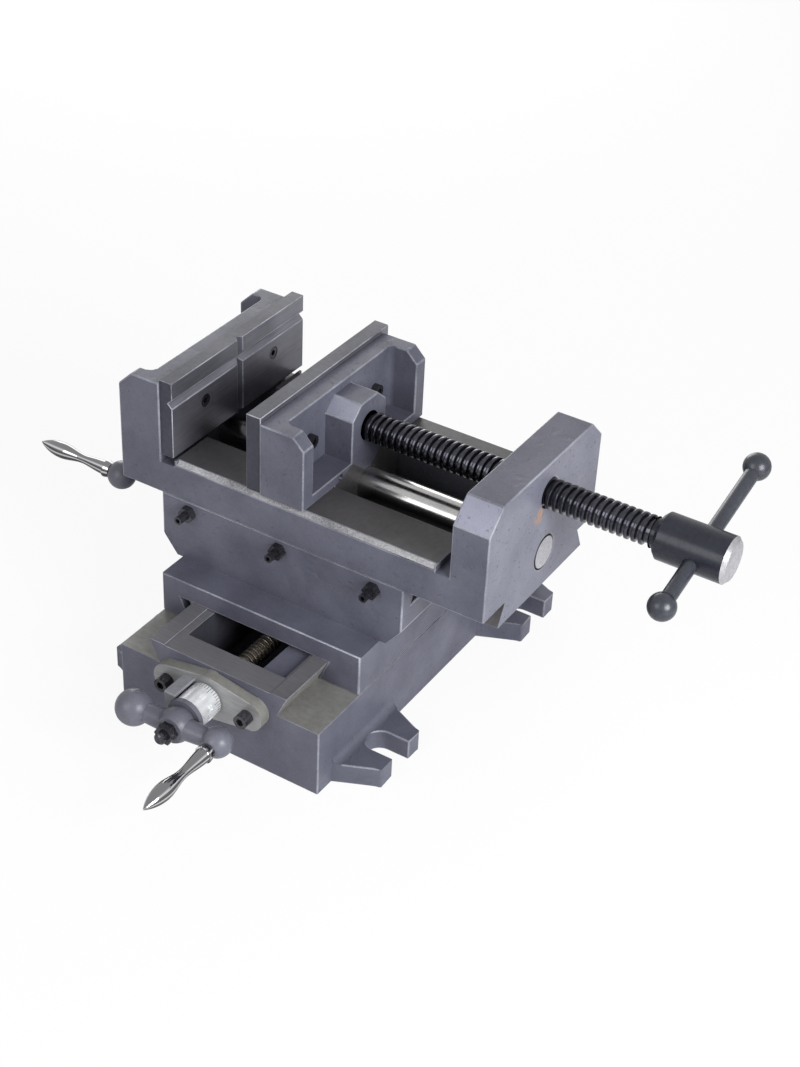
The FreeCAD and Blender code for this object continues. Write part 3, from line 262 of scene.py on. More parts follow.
finishes = {
    "paint": castPaint("castingPaint", (0.070, 0.072, 0.100), (0.128, 0.131, 0.172), 0.42, 900.0, 0.45, 0.35),
    # pitted wall paint, lighter than the casting paint as painted light for the wall's lit end face
    "wallPitsAndPaintedLight": castPaint("wallPitsAndPaintedLight", (0.118, 0.121, 0.158), (0.172, 0.176, 0.224), 0.42, 900.0, 0.6, 0.85),
    # painted light: a lighter copy of the casting paint for sloping faces that face up and forward
    "facetPaintedLight": castPaint("facetPaintedLight", (0.215, 0.221, 0.285), (0.315, 0.324, 0.405), 0.38,
                            900.0, 0.5, 0.3),
    # painted shade: darker, rougher paint for the trough in the vise body
    "roughPaintedShade": castPaint("recessPaintedShade", (0.046, 0.047, 0.060), (0.080, 0.082, 0.100), 0.60, 500.0, 0.6),
    # painted shade: near-black paint for the inside of the base's bed opening
    "bedPaintedShade": castPaint("bedPaintedShade", (0.020, 0.020, 0.028), (0.044, 0.044, 0.058), 0.62, 500.0, 0.4),
    "crankPaint": castPaint("crankPaint", (0.092, 0.095, 0.122), (0.156, 0.160, 0.196), 0.32, 1300.0, 0.45),
    # rounded casting edges: worn paint, lightened further as a painted highlight
    "wornEdgeAndHighlight": castPaint("wornEdgeAndHighlight", (0.085, 0.088, 0.118), (0.34, 0.35, 0.40), 0.32, 700.0, 0.2),
    "wayTop": groundMetal("wayTop", (0.115, 0.113, 0.124), (0.178, 0.176, 0.190), 0.42,
                          (60.0, 1100.0, 900.0), 0.25),
    "way": groundMetal("machinedWay", (0.185, 0.183, 0.176), (0.285, 0.282, 0.272), 0.46,
                       (240.0, 300.0, 300.0), 0.3),
    "wayCross": groundMetal("machinedRail", (0.046, 0.043, 0.046), (0.072, 0.068, 0.071), 0.42,
                            (260.0, 160.0, 300.0), 0.2),
    "bareStrip": groundMetal("bareStrip", (0.10, 0.10, 0.11), (0.46, 0.46, 0.475), 0.50,
                             (900.0, 900.0, 900.0), 0.4, 0.3),
    "plateFace": groundMetal("plateFace", (0.110, 0.110, 0.134), (0.215, 0.216, 0.250), 0.34,
                             (900.0, 30.0, 1500.0), 0.6),
    "plateTop": groundMetal("plateTop", (0.014, 0.015, 0.028), (0.034, 0.036, 0.056), 0.46,
                            (300.0, 300.0, 300.0), 0.0, 0.2),
    "bracket": groundMetal("bracketIron", (0.165, 0.164, 0.152), (0.260, 0.258, 0.242), 0.50,
                           (300.0, 300.0, 300.0), 0.3),
    "bracketFace": groundMetal("bracketFace", (0.215, 0.216, 0.220), (0.345, 0.346, 0.352), 0.42,
                               (90.0, 500.0, 900.0), 0.4),
    "indexBlock": groundMetal("indexBlock", (0.18, 0.18, 0.205), (0.27, 0.27, 0.30), 0.45,
                              (300.0, 300.0, 300.0), 0.3),
    "dial": groundMetal("dialSatin", (0.66, 0.68, 0.70), (0.88, 0.90, 0.92), 0.30,
                        (800.0, 800.0, 800.0), 0.55, 0.05),
    "polished": groundMetal("polishedBar", (0.34, 0.335, 0.33), (0.50, 0.49, 0.485), 0.19,
                            (500.0, 1600.0, 1600.0), 1.0, 0.04),
    "groundEnd": groundMetal("groundEnd", (0.22, 0.22, 0.24), (0.52, 0.52, 0.56), 0.46,
                             (900.0, 300.0, 900.0), 0.4, 0.3),
    # jaw plate edges: scratched wear, lightened as a painted highlight
    "plateEdgeWearAndHighlight": castPaint("plateEdgeWearAndHighlight", (0.09, 0.09, 0.12), (0.52, 0.53, 0.60), 0.34, 700.0, 0.1),
    # painted shade: near-black for the guide bar's chamfer ring
    "gapPaintedShade": castPaint("gapPaintedShade", (0.006, 0.006, 0.007), (0.012, 0.012, 0.014), 0.6),
    "blackSteel": groundMetal("blackSteel", (0.010, 0.011, 0.018), (0.024, 0.026, 0.038), 0.26,
                              (300.0, 300.0, 300.0), 0.1, 0.08, 0.32),
    "barSteel": groundMetal("barSteel", (0.018, 0.020, 0.029), (0.042, 0.045, 0.060), 0.30,
                            (400.0, 400.0, 400.0), 0.15, 0.12),
    "blackThread": groundMetal("blackThread", (0.026, 0.026, 0.034), (0.080, 0.080, 0.098), 0.15,
                               (300.0, 300.0, 300.0), 0.9, 0.05),
    "fastener": groundMetal("fastenerBlack", (0.020, 0.020, 0.025), (0.095, 0.095, 0.108), 0.24,
                            (600.0, 600.0, 600.0), 0.8, 0.15),
    "feedThread": groundMetal("feedThread", (0.135, 0.118, 0.100), (0.300, 0.270, 0.232), 0.28,
                              (500.0, 500.0, 500.0), 0.85, 0.06),
    "turnedEnd": groundMetal("turnedEnd", (0.24, 0.24, 0.26), (0.42, 0.42, 0.45), 0.42,
                             (500.0, 500.0, 500.0), 0.5, 0.15),
    "brightRing": groundMetal("brightRing", (0.30, 0.30, 0.32), (0.46, 0.46, 0.48), 0.30,
                              (500.0, 500.0, 500.0), 0.7, 0.03),
    # painted reflection: light and dark bands set into the chrome's colour
    "chrome": chromePlate("chromePlate", ((0.0, 0.40), (0.26, 0.08), (0.44, 0.05), (0.56, 0.74),
                                          (0.63, 0.09), (0.75, 0.12), (0.82, 0.66), (0.90, 0.20))),
    "bronze": groundMetal("bronzeNut", (0.30, 0.20, 0.09), (0.45, 0.32, 0.15), 0.38,
                          (400.0, 400.0, 900.0), 0.9),
    "ink": castPaint("engravedLine", (0.010, 0.010, 0.010), (0.020, 0.020, 0.020), 0.6),
}
finishes["rustedWallPaintedLight"] = rustedPaint("rustedWallPaintedLight", "wallPitsAndPaintedLight", (0.1545, -0.0135, 0.1755), 0.0075)
machined = ("way", "wayTop", "wayCross", "bareStrip", "polished")
print("finishes made: %d" % len(finishes))


def addObject(name, mesh):
    piece = bpy.data.objects.new(name, mesh)
    collection.objects.link(piece)
    return piece


def applied(piece, name):  # evaluated result as a plain mesh, modifiers gone
    graph = bpy.context.evaluated_depsgraph_get()
    graph.update()
    mesh = bpy.data.meshes.new_from_object(piece.evaluated_get(graph))
    old = piece.data
    piece.modifiers.clear()
    piece.data = mesh
    bpy.data.meshes.remove(old)
    mesh.name = name
    return piece


softSizes = {
    "sharpDegrees": 32,  # steeper edges are rounded and shaded as edges
    "shortest": 1.2,     # shorter edges stay as they are, in mm
    "share": 0.45,       # part of a neighbouring edge that a bevel may use
    "fineShare": 0.35,   # width on machined faces against the casting's
}


def mergedCopy(node):
    mesh = nodes[node].data.copy()
    for attribute in list(mesh.attributes):
        if attribute.name == "custom_normal":
            mesh.attributes.remove(attribute)
    work = bmesh.new()
    work.from_mesh(mesh)
    bmesh.ops.remove_doubles(work, verts=work.verts, dist=2e-6)
    bmesh.ops.dissolve_limit(work, angle_limit=math.radians(0.6), verts=work.verts, edges=work.edges)
    bmesh.ops.connect_verts_concave(work, faces=work.faces)
    work.to_mesh(mesh)
    work.free()
    mesh.materials.clear()
    return addObject(node + "_finished", mesh)


def edgeWeights(mesh, width, fineFaces):
    # each outer edge is rounded as far as the edges beside it leave room
    sharp = math.radians(softSizes["sharpDegrees"])
    work = bmesh.new()
    work.from_mesh(mesh)
    layer = work.edges.layers.float.new("bevel_weight_edge")
    outer = {edge for edge in work.edges
             if len(edge.link_faces) == 2 and edge.calc_face_angle_signed(0.0) >= sharp}
    for edge in outer:
        if edge.calc_length() < softSizes["shortest"] * mm:
            continue
        room = width
        for corner in edge.verts:
            course = (edge.other_vert(corner).co - corner.co).normalized()
            for other in corner.link_edges:
                away = other.other_vert(corner).co - corner.co
                goesOn = other in outer and away.normalized().dot(course) < -0.85
                if other != edge and not goesOn:
                    room = min(room, softSizes["share"] * away.cross(course).length)
        if any(face.material_index in fineFaces for face in edge.link_faces):
            room = min(room, softSizes["fineShare"] * width)
        edge[layer] = room / width
    work.to_mesh(mesh)
    work.free()


def smoothShaded(mesh, degrees):
    for face in mesh.polygons:
        face.use_smooth = True
    mesh.set_sharp_from_angle(angle=math.radians(degrees))


def dressed(node, body, paints, choose=None, bevel=0.0, segments=2, edgePaint=None, shape=None):
    # a softened copy of the casting, with a finish for each kind of face
    piece = mergedCopy(node)
    if shape:
        shape(piece)
    mesh = piece.data
    names = list(paints) + ([edgePaint] if edgePaint else [])
    for name in names:
        mesh.materials.append(finishes[name])
    if choose:
        for face in mesh.polygons:
            face.material_index = names.index(choose(face.center / mm, face.normal))
    smoothShaded(mesh, softSizes["sharpDegrees"])
    if bevel:
        fineFaces = [place for place, name in enumerate(names) if name in machined]
        edgeWeights(mesh, bevel * mm, fineFaces)
        modifier = piece.modifiers.new("softEdge", "BEVEL")
        modifier.width = bevel * mm
        modifier.segments = segments
        modifier.limit_method = "WEIGHT"
        modifier.use_clamp_overlap = False
        modifier.harden_normals = True
        if edgePaint:
            modifier.material = names.index(edgePaint)
        applied(piece, node + "_finished")
        low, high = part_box(node)
        outside = 0.0
        for vertex in piece.data.vertices:
            for axis in range(3):
                outside = max(outside, low[axis] - vertex.co[axis], vertex.co[axis] - high[axis])
        print("%s softened, %.3f mm outside its node" % (node, outside / mm))
    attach(piece, body)
    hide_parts(node)


def near(first, second, reach=0.4):
    return abs(first - second) < reach


earSizes = {
    "reach": 30.0, "halfRoot": 37.0, "halfTip": 24.0, "flareEnd": 28.0, "cornerRadius": 2.0,
    # as the node has them
    "wall": 80.0, "middle": 93.4, "nodeFlare": 12.0, "nodeRadius": 5.0, "slotHalf": 14,
}


def taperEars(piece):  # the ears narrow all the way to nearly square tips
    wall, tip, root = earSizes["wall"], earSizes["halfTip"], earSizes["halfRoot"]
    small, old = earSizes["cornerRadius"], earSizes["nodeRadius"]
    out = wall + earSizes["reach"]
    for vertex in piece.data.vertices:
        spot = vertex.co / mm
        middle = math.copysign(earSizes["middle"], spot.y)
        along = abs(spot.x) - wall
        side = abs(spot.y - middle)
        if along < 0.2 or side < earSizes["slotHalf"] or side > root:
            continue
        if abs(spot.x) > out - old + 0.01 and side > tip - old - 0.01:  # round of the tip corner
            across = (abs(spot.x) - (out - old)) / old
            rise = (side - (tip - old)) / old
            newX = out - small + small * min(1, across)
            newSide = tip - small + small * min(1, rise)
        else:
            newX = abs(spot.x)
            before = root - (root - tip) * min(1, along / earSizes["nodeFlare"])
            after = root - (root - tip) * min(1, along / earSizes["flareEnd"])
            newSide = side + after - before
        vertex.co.x = math.copysign(newX, spot.x) * mm
        vertex.co.y = (middle + math.copysign(newSide, spot.y - middle)) * mm


baseZones = {"ledge": 52, "wayTop": 68.4, "wayHalf": 45,
             "bedX": (-37.2, 21.2), "bedHalf": 128.2, "bedZ": (20, 66)}


def baseFace(place, normal):
    if near(place.z, baseZones["ledge"], 0.3) and normal.z > 0.9:
        return "way"
    onWay = baseZones["ledge"] < place.z < baseZones["wayTop"] and abs(place.x) > baseZones["wayHalf"]
    if onWay and abs(normal.x) > 0.6:
        return "way"
    if normal.z > 0.9 and place.z > 67:
        return "wayTop"
    (left, right), (low, high) = baseZones["bedX"], baseZones["bedZ"]
    # inside the bed opening the paint is darkened as painted shade
    if low < place.z < high and left < place.x < right and abs(place.y) < baseZones["bedHalf"]:
        return "bedPaintedShade"
    return "paint"


def saddleFace(place, normal):
    if abs(normal.z) > 0.9 and near(place.z, 130.3):
        return "way"
    return "paint"


viseZones = {"ways": 130.2, "rail": 159.7, "jaw": 127.5, "jawFoot": 131, "wallFace": 154.5,
             "strip": (155, 160), "troughMiddle": -1, "troughHalf": 40.5, "troughStart": -96.6}


def litFacet(normal):  # sloping faces that catch the light in the photograph
    return 0.5 < normal.z < 0.9 and normal.y < -0.5


def viseFace(place, normal):
    # the wall's end face: real pits and a rust spot on a lighter paint that is painted light
    if normal.x > 0.95 and near(place.x, viseZones["wallFace"]):
        return "rustedWallPaintedLight"
    stripLow, stripHigh = viseZones["strip"]
    if normal.z > 0.5 and abs(normal.y) > 0.5 and stripLow < place.z < stripHigh:
        return "bareStrip"
    if place.x > viseZones["jaw"] and place.z > viseZones["jawFoot"]:
        # sloping faces that face up and forward get the lighter paint, painted light
        return "facetPaintedLight" if litFacet(normal) else "paint"
    if normal.z > 0.9 and near(place.z, viseZones["rail"]) and place.x > -97:
        return "wayCross"
    if place.z < viseZones["ways"]:
        return "wayCross"
    # faces in the trough get the darker paint, painted shade
    acrossTrough = abs(place.y - viseZones["troughMiddle"]) < viseZones["troughHalf"]
    inTrough = acrossTrough and place.z < 159.5 and place.x > viseZones["troughStart"]
    return "roughPaintedShade" if inTrough else "paint"


def jawFace(place, normal):
    if place.z < 160.5:
        return "wayCross"
    # sloping faces that face up and forward get the lighter paint, painted light
    return "facetPaintedLight" if litFacet(normal) else "paint"


def plateFace(place, normal):
    return "plateFace" if abs(normal.x) > 0.55 else "plateTop"


def bracketFinish(outward):
    def choose(place, normal):
        if -place.y > 155.4 or -place.x > 138.4:  # the index block
            return "indexBlock"
        facing = -(normal.y if outward == "y" else normal.x)
        return "bracketFace" if facing > 0.9 else "bracket"
    return choose


def barFace(place, normal):
    if place.x > 154.3:
        return "groundEnd"
    # the bar's end chamfer is painted near-black as painted shade
    return "gapPaintedShade" if place.x > 153.2 else "polished"


bevelWidths = {"base": 0.95, "saddle": 1.1, "vise_body": 0.95, "movable_jaw": 0.95, "plate": 0.5, "bracket": 0.8}


def dressAll():
    castings = (
        ("base", ("paint", "bedPaintedShade", "way", "wayTop"), baseFace, taperEars),
        ("saddle", ("paint", "way"), saddleFace, None),
        ("vise_body", ("paint", "roughPaintedShade", "wayCross", "bareStrip", "rustedWallPaintedLight", "facetPaintedLight"), viseFace, None),
        ("movable_jaw", ("paint", "wayCross", "facetPaintedLight"), jawFace, None),
    )
    for node, paints, choose, shape in castings:
        dressed(node, node, paints, choose, bevelWidths[node], 2, "wornEdgeAndHighlight", shape)
    for node, body in (("fixed_jaw_plate", "vise_body"), ("movable_jaw_plate", "movable_jaw")):
        dressed(node, body, ("plateFace", "plateTop"), plateFace, bevelWidths["plate"], 1, "plateEdgeWearAndHighlight")
    for node, body, outward in (("cross_bracket", "base", "y"), ("vise_bracket", "vise_body", "x")):
        paints = ("bracket", "bracketFace", "indexBlock")
        dressed(node, body, paints, bracketFinish(outward), bevelWidths["bracket"])
    for node, body in (("cross_crank", "cross_screw"), ("vise_crank", "vise_screw")):
        dressed(node, body, ("crankPaint",))
    dressed("guide_bar", "vise_body", ("polished", "gapPaintedShade", "groundEnd"), barFace)
    print("castings dressed")


dressAll()


gripSizes = {"steps": 72, "boreZone": 16.0, "boreRadius": 3.0, "collar": 5.5, "gap": 0.6, "tipGap": 0.3}


def turnedHandle(node, body, axis):
    # the handle's own outline turned again with fine, even facets
    low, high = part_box(node)
    middle = (Vector(low) + Vector(high)) / 2
    start = high[axis]
    outline = {}
    bore = []
    for vertex in nodes[node].data.vertices:
        away = vertex.co - middle
        away[axis] = 0
        depth = (start - vertex.co[axis]) / mm
        if depth < gripSizes["boreZone"] and away.length / mm < gripSizes["boreRadius"]:
            bore.append((depth, away.length / mm))
        else:
            outline.setdefault(round(depth, 2), away.length / mm)
    rings = []
    for depth in sorted(outline):
        if depth < gripSizes["collar"] or not rings or depth - rings[-1][0] > gripSizes["gap"]:
            rings.append((depth, outline[depth]))
    reach = max(depth for depth, radius in bore)
    hole = max(radius for depth, radius in bore)
    tip = (start - low[axis]) / mm
    rings = [ring for ring in rings if ring[0] < tip - gripSizes["tipGap"]]
    rings = [(reach, 0.0), (reach, hole), (0.0, hole)] + rings + [(tip, 0.0)]
    side = 0 if axis else 1
    work = bmesh.new()
    spots = []
    for depth, radius in rings:
        spot = middle.copy()
        spot[axis] = start - depth * mm
        spot[side] += radius * mm
        spots.append(work.verts.new(spot))
    line = [work.edges.new(pair) for pair in zip(spots, spots[1:])]
    turn = Vector((0, 0, 0))
    turn[axis] = 1
    bmesh.ops.spin(work, geom=spots + line, cent=middle, axis=turn, angle=2 * math.pi,
                   steps=gripSizes["steps"])
    bmesh.ops.remove_doubles(work, verts=work.verts, dist=2e-6)
    bmesh.ops.recalc_face_normals(work, faces=work.faces)
    mesh = bpy.data.meshes.new(node + "_finished")
    work.to_mesh(mesh)
    work.free()
    mesh.materials.append(finishes["chrome"])
    smoothShaded(mesh, softSizes["sharpDegrees"])
    piece = addObject(node + "_finished", mesh)
    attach(piece, body)
    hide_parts(node)


turnedHandle("cross_handle", "cross_handle", 1)
turnedHandle("vise_handle", "vise_handle", 0)


def paintNodes():  # nodes whose shape is right keep it and get a finish
    plain = {
        "cross_gib": "way", "vise_gib": "wayCross", "jaw_screw_pin": "paint",
        "cross_dial": "dial", "vise_dial": "dial", "cross_nut": "bronze", "vise_nut": "bronze",
        "handle_bar": "barSteel", "handle_balls": "barSteel",
    }
    for name, node in nodes.items():
        node.data.materials.clear()
        node.data.materials.append(finishes[plain.get(name, "fastener")])
    print("loose pieces painted")


paintNodes()


def finishInto(tree, shape, finish, result):
    realize = tree.nodes.new("GeometryNodeRealizeInstances")
    paint = tree.nodes.new("GeometryNodeSetMaterial")
    link(tree, shape, realize.inputs["Geometry"])
    link(tree, realize.outputs["Geometry"], paint.inputs["Geometry"])
    link(tree, finish, paint.inputs["Material"])
    link(tree, paint.outputs["Geometry"], result)


def makeThreadTree():
    # ridge swept along a helix, its foot and crest given as shares of the pitch
    tree, make, source, result = geometryGroup(
        "threadRidge", ("Pitch", "Turns", "Radius", "Depth", "Foot", "Crest", "Round"))
    height = mathNode(tree, "MULTIPLY", source["Pitch"], source["Turns"])
    half = mathNode(tree, "MULTIPLY", source["Depth"], 0.5)
    middle = mathNode(tree, "SUBTRACT", source["Radius"], half)
    spiral = make("GeometryNodeCurveSpiral")
    spiral.inputs["Resolution"].default_value = 28
    link(tree, source["Turns"], spiral.inputs["Rotations"])
    link(tree, middle, spiral.inputs["Start Radius"])
    link(tree, middle, spiral.inputs["End Radius"])
    link(tree, height, spiral.inputs["Height"])
    upright = make("GeometryNodeSetCurveNormal")
    upright.mode = "Z_UP"
    link(tree, spiral.outputs["Curve"], upright.inputs["Curve"])
    section = make("GeometryNodeCurvePrimitiveQuadrilateral")
    section.mode = "TRAPEZOID"
    section.inputs["Offset"].default_value = 0.0
    foot = mathNode(tree, "MULTIPLY", source["Pitch"], source["Foot"])
    crest = mathNode(tree, "MULTIPLY", source["Pitch"], source["Crest"])
    link(tree, foot, section.inputs["Bottom Width"])
    link(tree, crest, section.inputs["Top Width"])
    link(tree, source["Depth"], section.inputs["Height"])
    rounded = make("GeometryNodeFilletCurve")
    rounded.mode = "POLY"
    rounded.inputs["Count"].default_value = 2
    link(tree, source["Round"], rounded.inputs["Radius"])
    link(tree, section.outputs["Curve"], rounded.inputs["Curve"])
    turn = make("GeometryNodeTransform")
    turn.inputs["Rotation"].default_value = (0.0, 0.0, math.radians(90))
    link(tree, rounded.outputs["Curve"], turn.inputs["Geometry"])
    sweep = make("GeometryNodeCurveToMesh")
    sweep.inputs["Fill Caps"].default_value = True
    link(tree, upright.outputs["Curve"], sweep.inputs["Curve"])
    link(tree, turn.outputs["Geometry"], sweep.inputs["Profile Curve"])
    finishInto(tree, sweep.outputs["Mesh"], source["Finish"], result)
    return tree


threadTree = makeThreadTree()


def setInputs(modifier, values):
    for item in modifier.node_group.interface.items_tree:
        if item.in_out == "INPUT" and item.name in values:
            modifier[item.identifier] = values[item.name]


def grown(name, tree, values):
    # a plain mesh made by a node group from these values
    holder = addObject(name, bpy.data.meshes.new(name))
    modifier = holder.modifiers.new("shape", "NODES")
    modifier.node_group = tree
    setInputs(modifier, values)
    return applied(holder, name)


def coreMesh(name, radius, length, faces=48):
    work = bmesh.new()
    made = bmesh.ops.create_cone(work, cap_ends=True, segments=faces, radius1=radius, radius2=radius, depth=length)
    bmesh.ops.translate(work, verts=made["verts"], vec=(0, 0, length / 2))
    mesh = bpy.data.meshes.new(name)
    work.to_mesh(mesh)
    work.free()
    return mesh


def threadedPiece(node, body, finish, sizes, place, keep):
    # the CAD piece without its plain thread cylinder, a core and a helical ridge
    piece = mergedCopy(node)
    work = bmesh.new()
    work.from_mesh(piece.data)
    gone = [face for face in work.faces if not keep(face)]
    bmesh.ops.delete(work, geom=gone, context="FACES")
    bmesh.ops.holes_fill(work, edges=[edge for edge in work.edges if edge.is_boundary], sides=0)
    bmesh.ops.recalc_face_normals(work, faces=work.faces)
    work.to_mesh(piece.data)
    work.free()
    core = coreMesh(node + "Core", sizes["Radius"] - sizes["Depth"] + 0.1 * mm, sizes["length"])
    turns = (sizes["length"] - sizes["Pitch"]) / sizes["Pitch"]
    ridge = grown(node + "Ridge", threadTree, {**sizes, "Turns": turns, "Finish": finishes[finish]})
    ridge.data.transform(Matrix.Translation((0, 0, sizes["Pitch"] / 2)))
    joined = bmesh.new()
    joined.from_mesh(piece.data)
    for extra in (core, ridge.data):
        extra.transform(place)
        joined.from_mesh(extra)
    joined.to_mesh(piece.data)
    joined.free()
    bpy.data.objects.remove(ridge)
    bpy.data.meshes.remove(core)
    piece.data.materials.clear()
    piece.data.materials.append(finishes[finish])
    for face in piece.data.polygons:
        face.material_index = 0
    smoothShaded(piece.data, 34)
    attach(piece, body)
    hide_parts(node)
    return piece


def radial(face, axis, middle):
    offset = face.calc_center_median() / mm - middle
    offset[axis] = 0
    return offset.length


jawScrewSizes = {
    "start": (18.8, -1, 187), "thread": (19, 227.5), "threadLimit": 11.5, "head": 229, "headEnd": 278.6,
    "ridge": {"Pitch": 5 * mm, "Radius": 10.4 * mm, "Depth": 2.4 * mm, "Foot": 0.72, "Crest": 0.46,
              "Round": 0.7 * mm, "length": 209.2 * mm},
}


def makeJawScrew():
    start = Vector(jawScrewSizes["start"])
    first, last = jawScrewSizes["thread"]

    def keep(face):
        along = abs(face.normal.x) < 0.2
        inThread = first < face.calc_center_median().x / mm < last
        return not (along and inThread and radial(face, 0, start) < jawScrewSizes["threadLimit"])

    place = Matrix.Translation(start * mm) @ Matrix.Rotation(math.radians(90), 4, "Y")
    mesh = threadedPiece("jaw_screw", "jaw_screw", "blackThread", jawScrewSizes["ridge"], place, keep).data
    for finish in ("blackSteel", "turnedEnd", "brightRing"):
        mesh.materials.append(finishes[finish])
    for face in mesh.polygons:
        along = face.center.x / mm
        if along > jawScrewSizes["head"]:
            face.material_index = 1
            if along > jawScrewSizes["headEnd"] and face.normal.x > 0.3:
                face.material_index = 2 if face.normal.x > 0.95 else 3


front = Matrix.Rotation(math.radians(90), 4, "X")
left = Matrix.Rotation(math.radians(-90), 4, "Z") @ front
feeds = {  # journal face of each feed screw, its direction, length and axis
    "cross": (Vector((-2, -146.5, 49)), front, 261.5, 1),
    "vise": (Vector((-129.5, -1, 95)), left, 223, 0),
}
feedSizes = {
    "journal": 29, "collar": 6.5, "threadLimit": 6.2, "shorter": 8.3,
    "ridge": {"Pitch": 4 * mm, "Radius": 6.95 * mm, "Depth": 1.9 * mm, "Foot": 0.66, "Crest": 0.40,
              "Round": 0.5 * mm},
}


def makeFeedScrews():
    for feed, (origin, turn, length, axis) in feeds.items():
        sizes = {**feedSizes["ridge"], "length": (length - feedSizes["shorter"]) * mm}
        place = Matrix.Translation(origin * mm) @ turn @ Matrix.Translation((0, 0, (1 - length) * mm))

        def keep(face, axis=axis, origin=origin, length=length):
            depth = -(face.calc_center_median() / mm - origin)[axis]
            inThread = -length + 1.1 < depth < -feedSizes["collar"]
            along = abs(face.normal[axis]) < 0.2
            return not (along and inThread and radial(face, axis, origin) > feedSizes["threadLimit"])

        mesh = threadedPiece(feed + "_feed_screw", feed + "_screw", "feedThread", sizes, place, keep).data
        mesh.materials.append(finishes["fastener"])
        for face in mesh.polygons:
            if -(face.center / mm - origin)[axis] > feedSizes["journal"]:
                face.material_index = 1


makeJawScrew()
makeFeedScrews()
print("threads cut")


dialSizes = {"divisions": 40, "radius": 12.32, "longMark": 5.6, "shortMark": 3.2, "markWidth": 0.3,
             "markDepth": 0.16, "low": 9.9, "numberHeight": 4.8, "numberDepth": 0.06, "numberBold": 0.05,
             "numberStep": 5, "numberRise": 19.4, "turned": math.radians(-160)}


def makeMarkTree():
    # engraved lines round a drum, every fifth one long
    tree, make, source, result = geometryGroup("drumMarks", ("Count", "Radius", "Width", "Long", "Short", "Low"))
    ring = make("GeometryNodeMeshCircle")
    link(tree, source["Count"], ring.inputs["Vertices"])
    link(tree, source["Radius"], ring.inputs["Radius"])
    index = make("GeometryNodeInputIndex").outputs["Index"]
    minor = mathNode(tree, "GREATER_THAN", mathNode(tree, "MODULO", index, 5.0), 0.5)
    less = mathNode(tree, "SUBTRACT", source["Long"], source["Short"])
    length = mathNode(tree, "SUBTRACT", source["Long"], mathNode(tree, "MULTIPLY", minor, less))
    rise = mathNode(tree, "ADD", mathNode(tree, "MULTIPLY", length, 0.5), source["Low"])
    lift = make("ShaderNodeCombineXYZ")
    link(tree, rise, lift.inputs["Z"])
    raised = make("GeometryNodeSetPosition")
    link(tree, ring.outputs["Mesh"], raised.inputs["Geometry"])
    link(tree, lift.outputs["Vector"], raised.inputs["Offset"])
    step = mathNode(tree, "DIVIDE", 2 * math.pi, source["Count"])
    turn = make("ShaderNodeCombineXYZ")
    link(tree, mathNode(tree, "MULTIPLY", step, index), turn.inputs["Z"])
    size = make("ShaderNodeCombineXYZ")
    size.inputs["X"].default_value = dialSizes["markDepth"]
    link(tree, source["Width"], size.inputs["Y"])
    link(tree, length, size.inputs["Z"])
    place = make("GeometryNodeInstanceOnPoints")
    link(tree, raised.outputs["Geometry"], place.inputs["Points"])
    link(tree, make("GeometryNodeMeshCube").outputs["Mesh"], place.inputs["Instance"])
    link(tree, turn.outputs["Vector"], place.inputs["Rotation"])
    link(tree, size.outputs["Vector"], place.inputs["Scale"])
    finishInto(tree, place.outputs["Instances"], source["Finish"], result)
    return tree


markTree = makeMarkTree()


def numberMesh(words, angle):  # one figure wrapped round the drum
    curve = bpy.data.curves.new("figure", "FONT")
    curve.body = words
    curve.size = dialSizes["numberHeight"]
    curve.align_x = "CENTER"
    curve.align_y = "CENTER"
    curve.extrude = dialSizes["numberDepth"]
    curve.offset = dialSizes["numberBold"]
    text = addObject("figure", curve)
    graph = bpy.context.evaluated_depsgraph_get()
    graph.update()
    flat = bpy.data.meshes.new_from_object(text.evaluated_get(graph))
    bpy.data.objects.remove(text)
    bpy.data.curves.remove(curve)
    fine = bmesh.new()  # small facets, so that the figure bends with the drum
    fine.from_mesh(flat)
    bmesh.ops.triangulate(fine, faces=fine.faces)
    bmesh.ops.subdivide_edges(fine, edges=fine.edges, cuts=2, use_grid_fill=True)
    fine.to_mesh(flat)
    fine.free()
    for vertex in flat.vertices:
        along = angle + vertex.co.x / dialSizes["radius"]
        out = dialSizes["radius"] - 0.02 + vertex.co.z
        rise = dialSizes["numberRise"] + vertex.co.y
        vertex.co = Vector((out * math.cos(along), out * math.sin(along), rise))
    return flat


def dialMarks(name, body, origin, turn):
    count = dialSizes["divisions"]
    marks = grown(name, markTree, {
        "Count": float(count), "Radius": dialSizes["radius"] - 0.05, "Width": dialSizes["markWidth"],
        "Long": dialSizes["longMark"], "Short": dialSizes["shortMark"], "Low": dialSizes["low"],
        "Finish": finishes["ink"],
    })
    work = bmesh.new()
    work.from_mesh(marks.data)
    for step in range(0, count, dialSizes["numberStep"]):
        flat = numberMesh(str(step), 2 * math.pi * step / count)
        work.from_mesh(flat)
        bpy.data.meshes.remove(flat)
    spin = Matrix.Rotation(dialSizes["turned"], 3, "Z")
    bmesh.ops.rotate(work, verts=work.verts, cent=(0, 0, 0), matrix=spin)
    bmesh.ops.scale(work, verts=work.verts, vec=(mm, mm, mm))
    bmesh.ops.recalc_face_normals(work, faces=work.faces)
    work.to_mesh(marks.data)
    work.free()
    marks.data.transform(Matrix.Translation(origin * mm) @ turn)
    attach(marks, body)


for feed, (origin, turn, length, axis) in feeds.items():
    dialMarks(feed + "_dial_marks", feed + "_screw", origin, turn)
print("dials marked")


stageSizes = {"floorLevel": -0.0002, "paperGlow": 0.9, "fill": 0.27}
lamps = {
    "keyLamp": {"place": (-0.3, -1.4, 0.9), "target": (0, 0, 0.1), "size": 0.9, "power": 8},
    "sideLamp": {"place": (1.25, -0.45, 0.7), "target": (0.05, 0, 0.1), "size": 0.7, "power": 22},
    "backLamp": {"place": (-0.9, 1.2, 0.5), "target": (0, 0, 0.1), "size": 0.9, "power": 9},
}


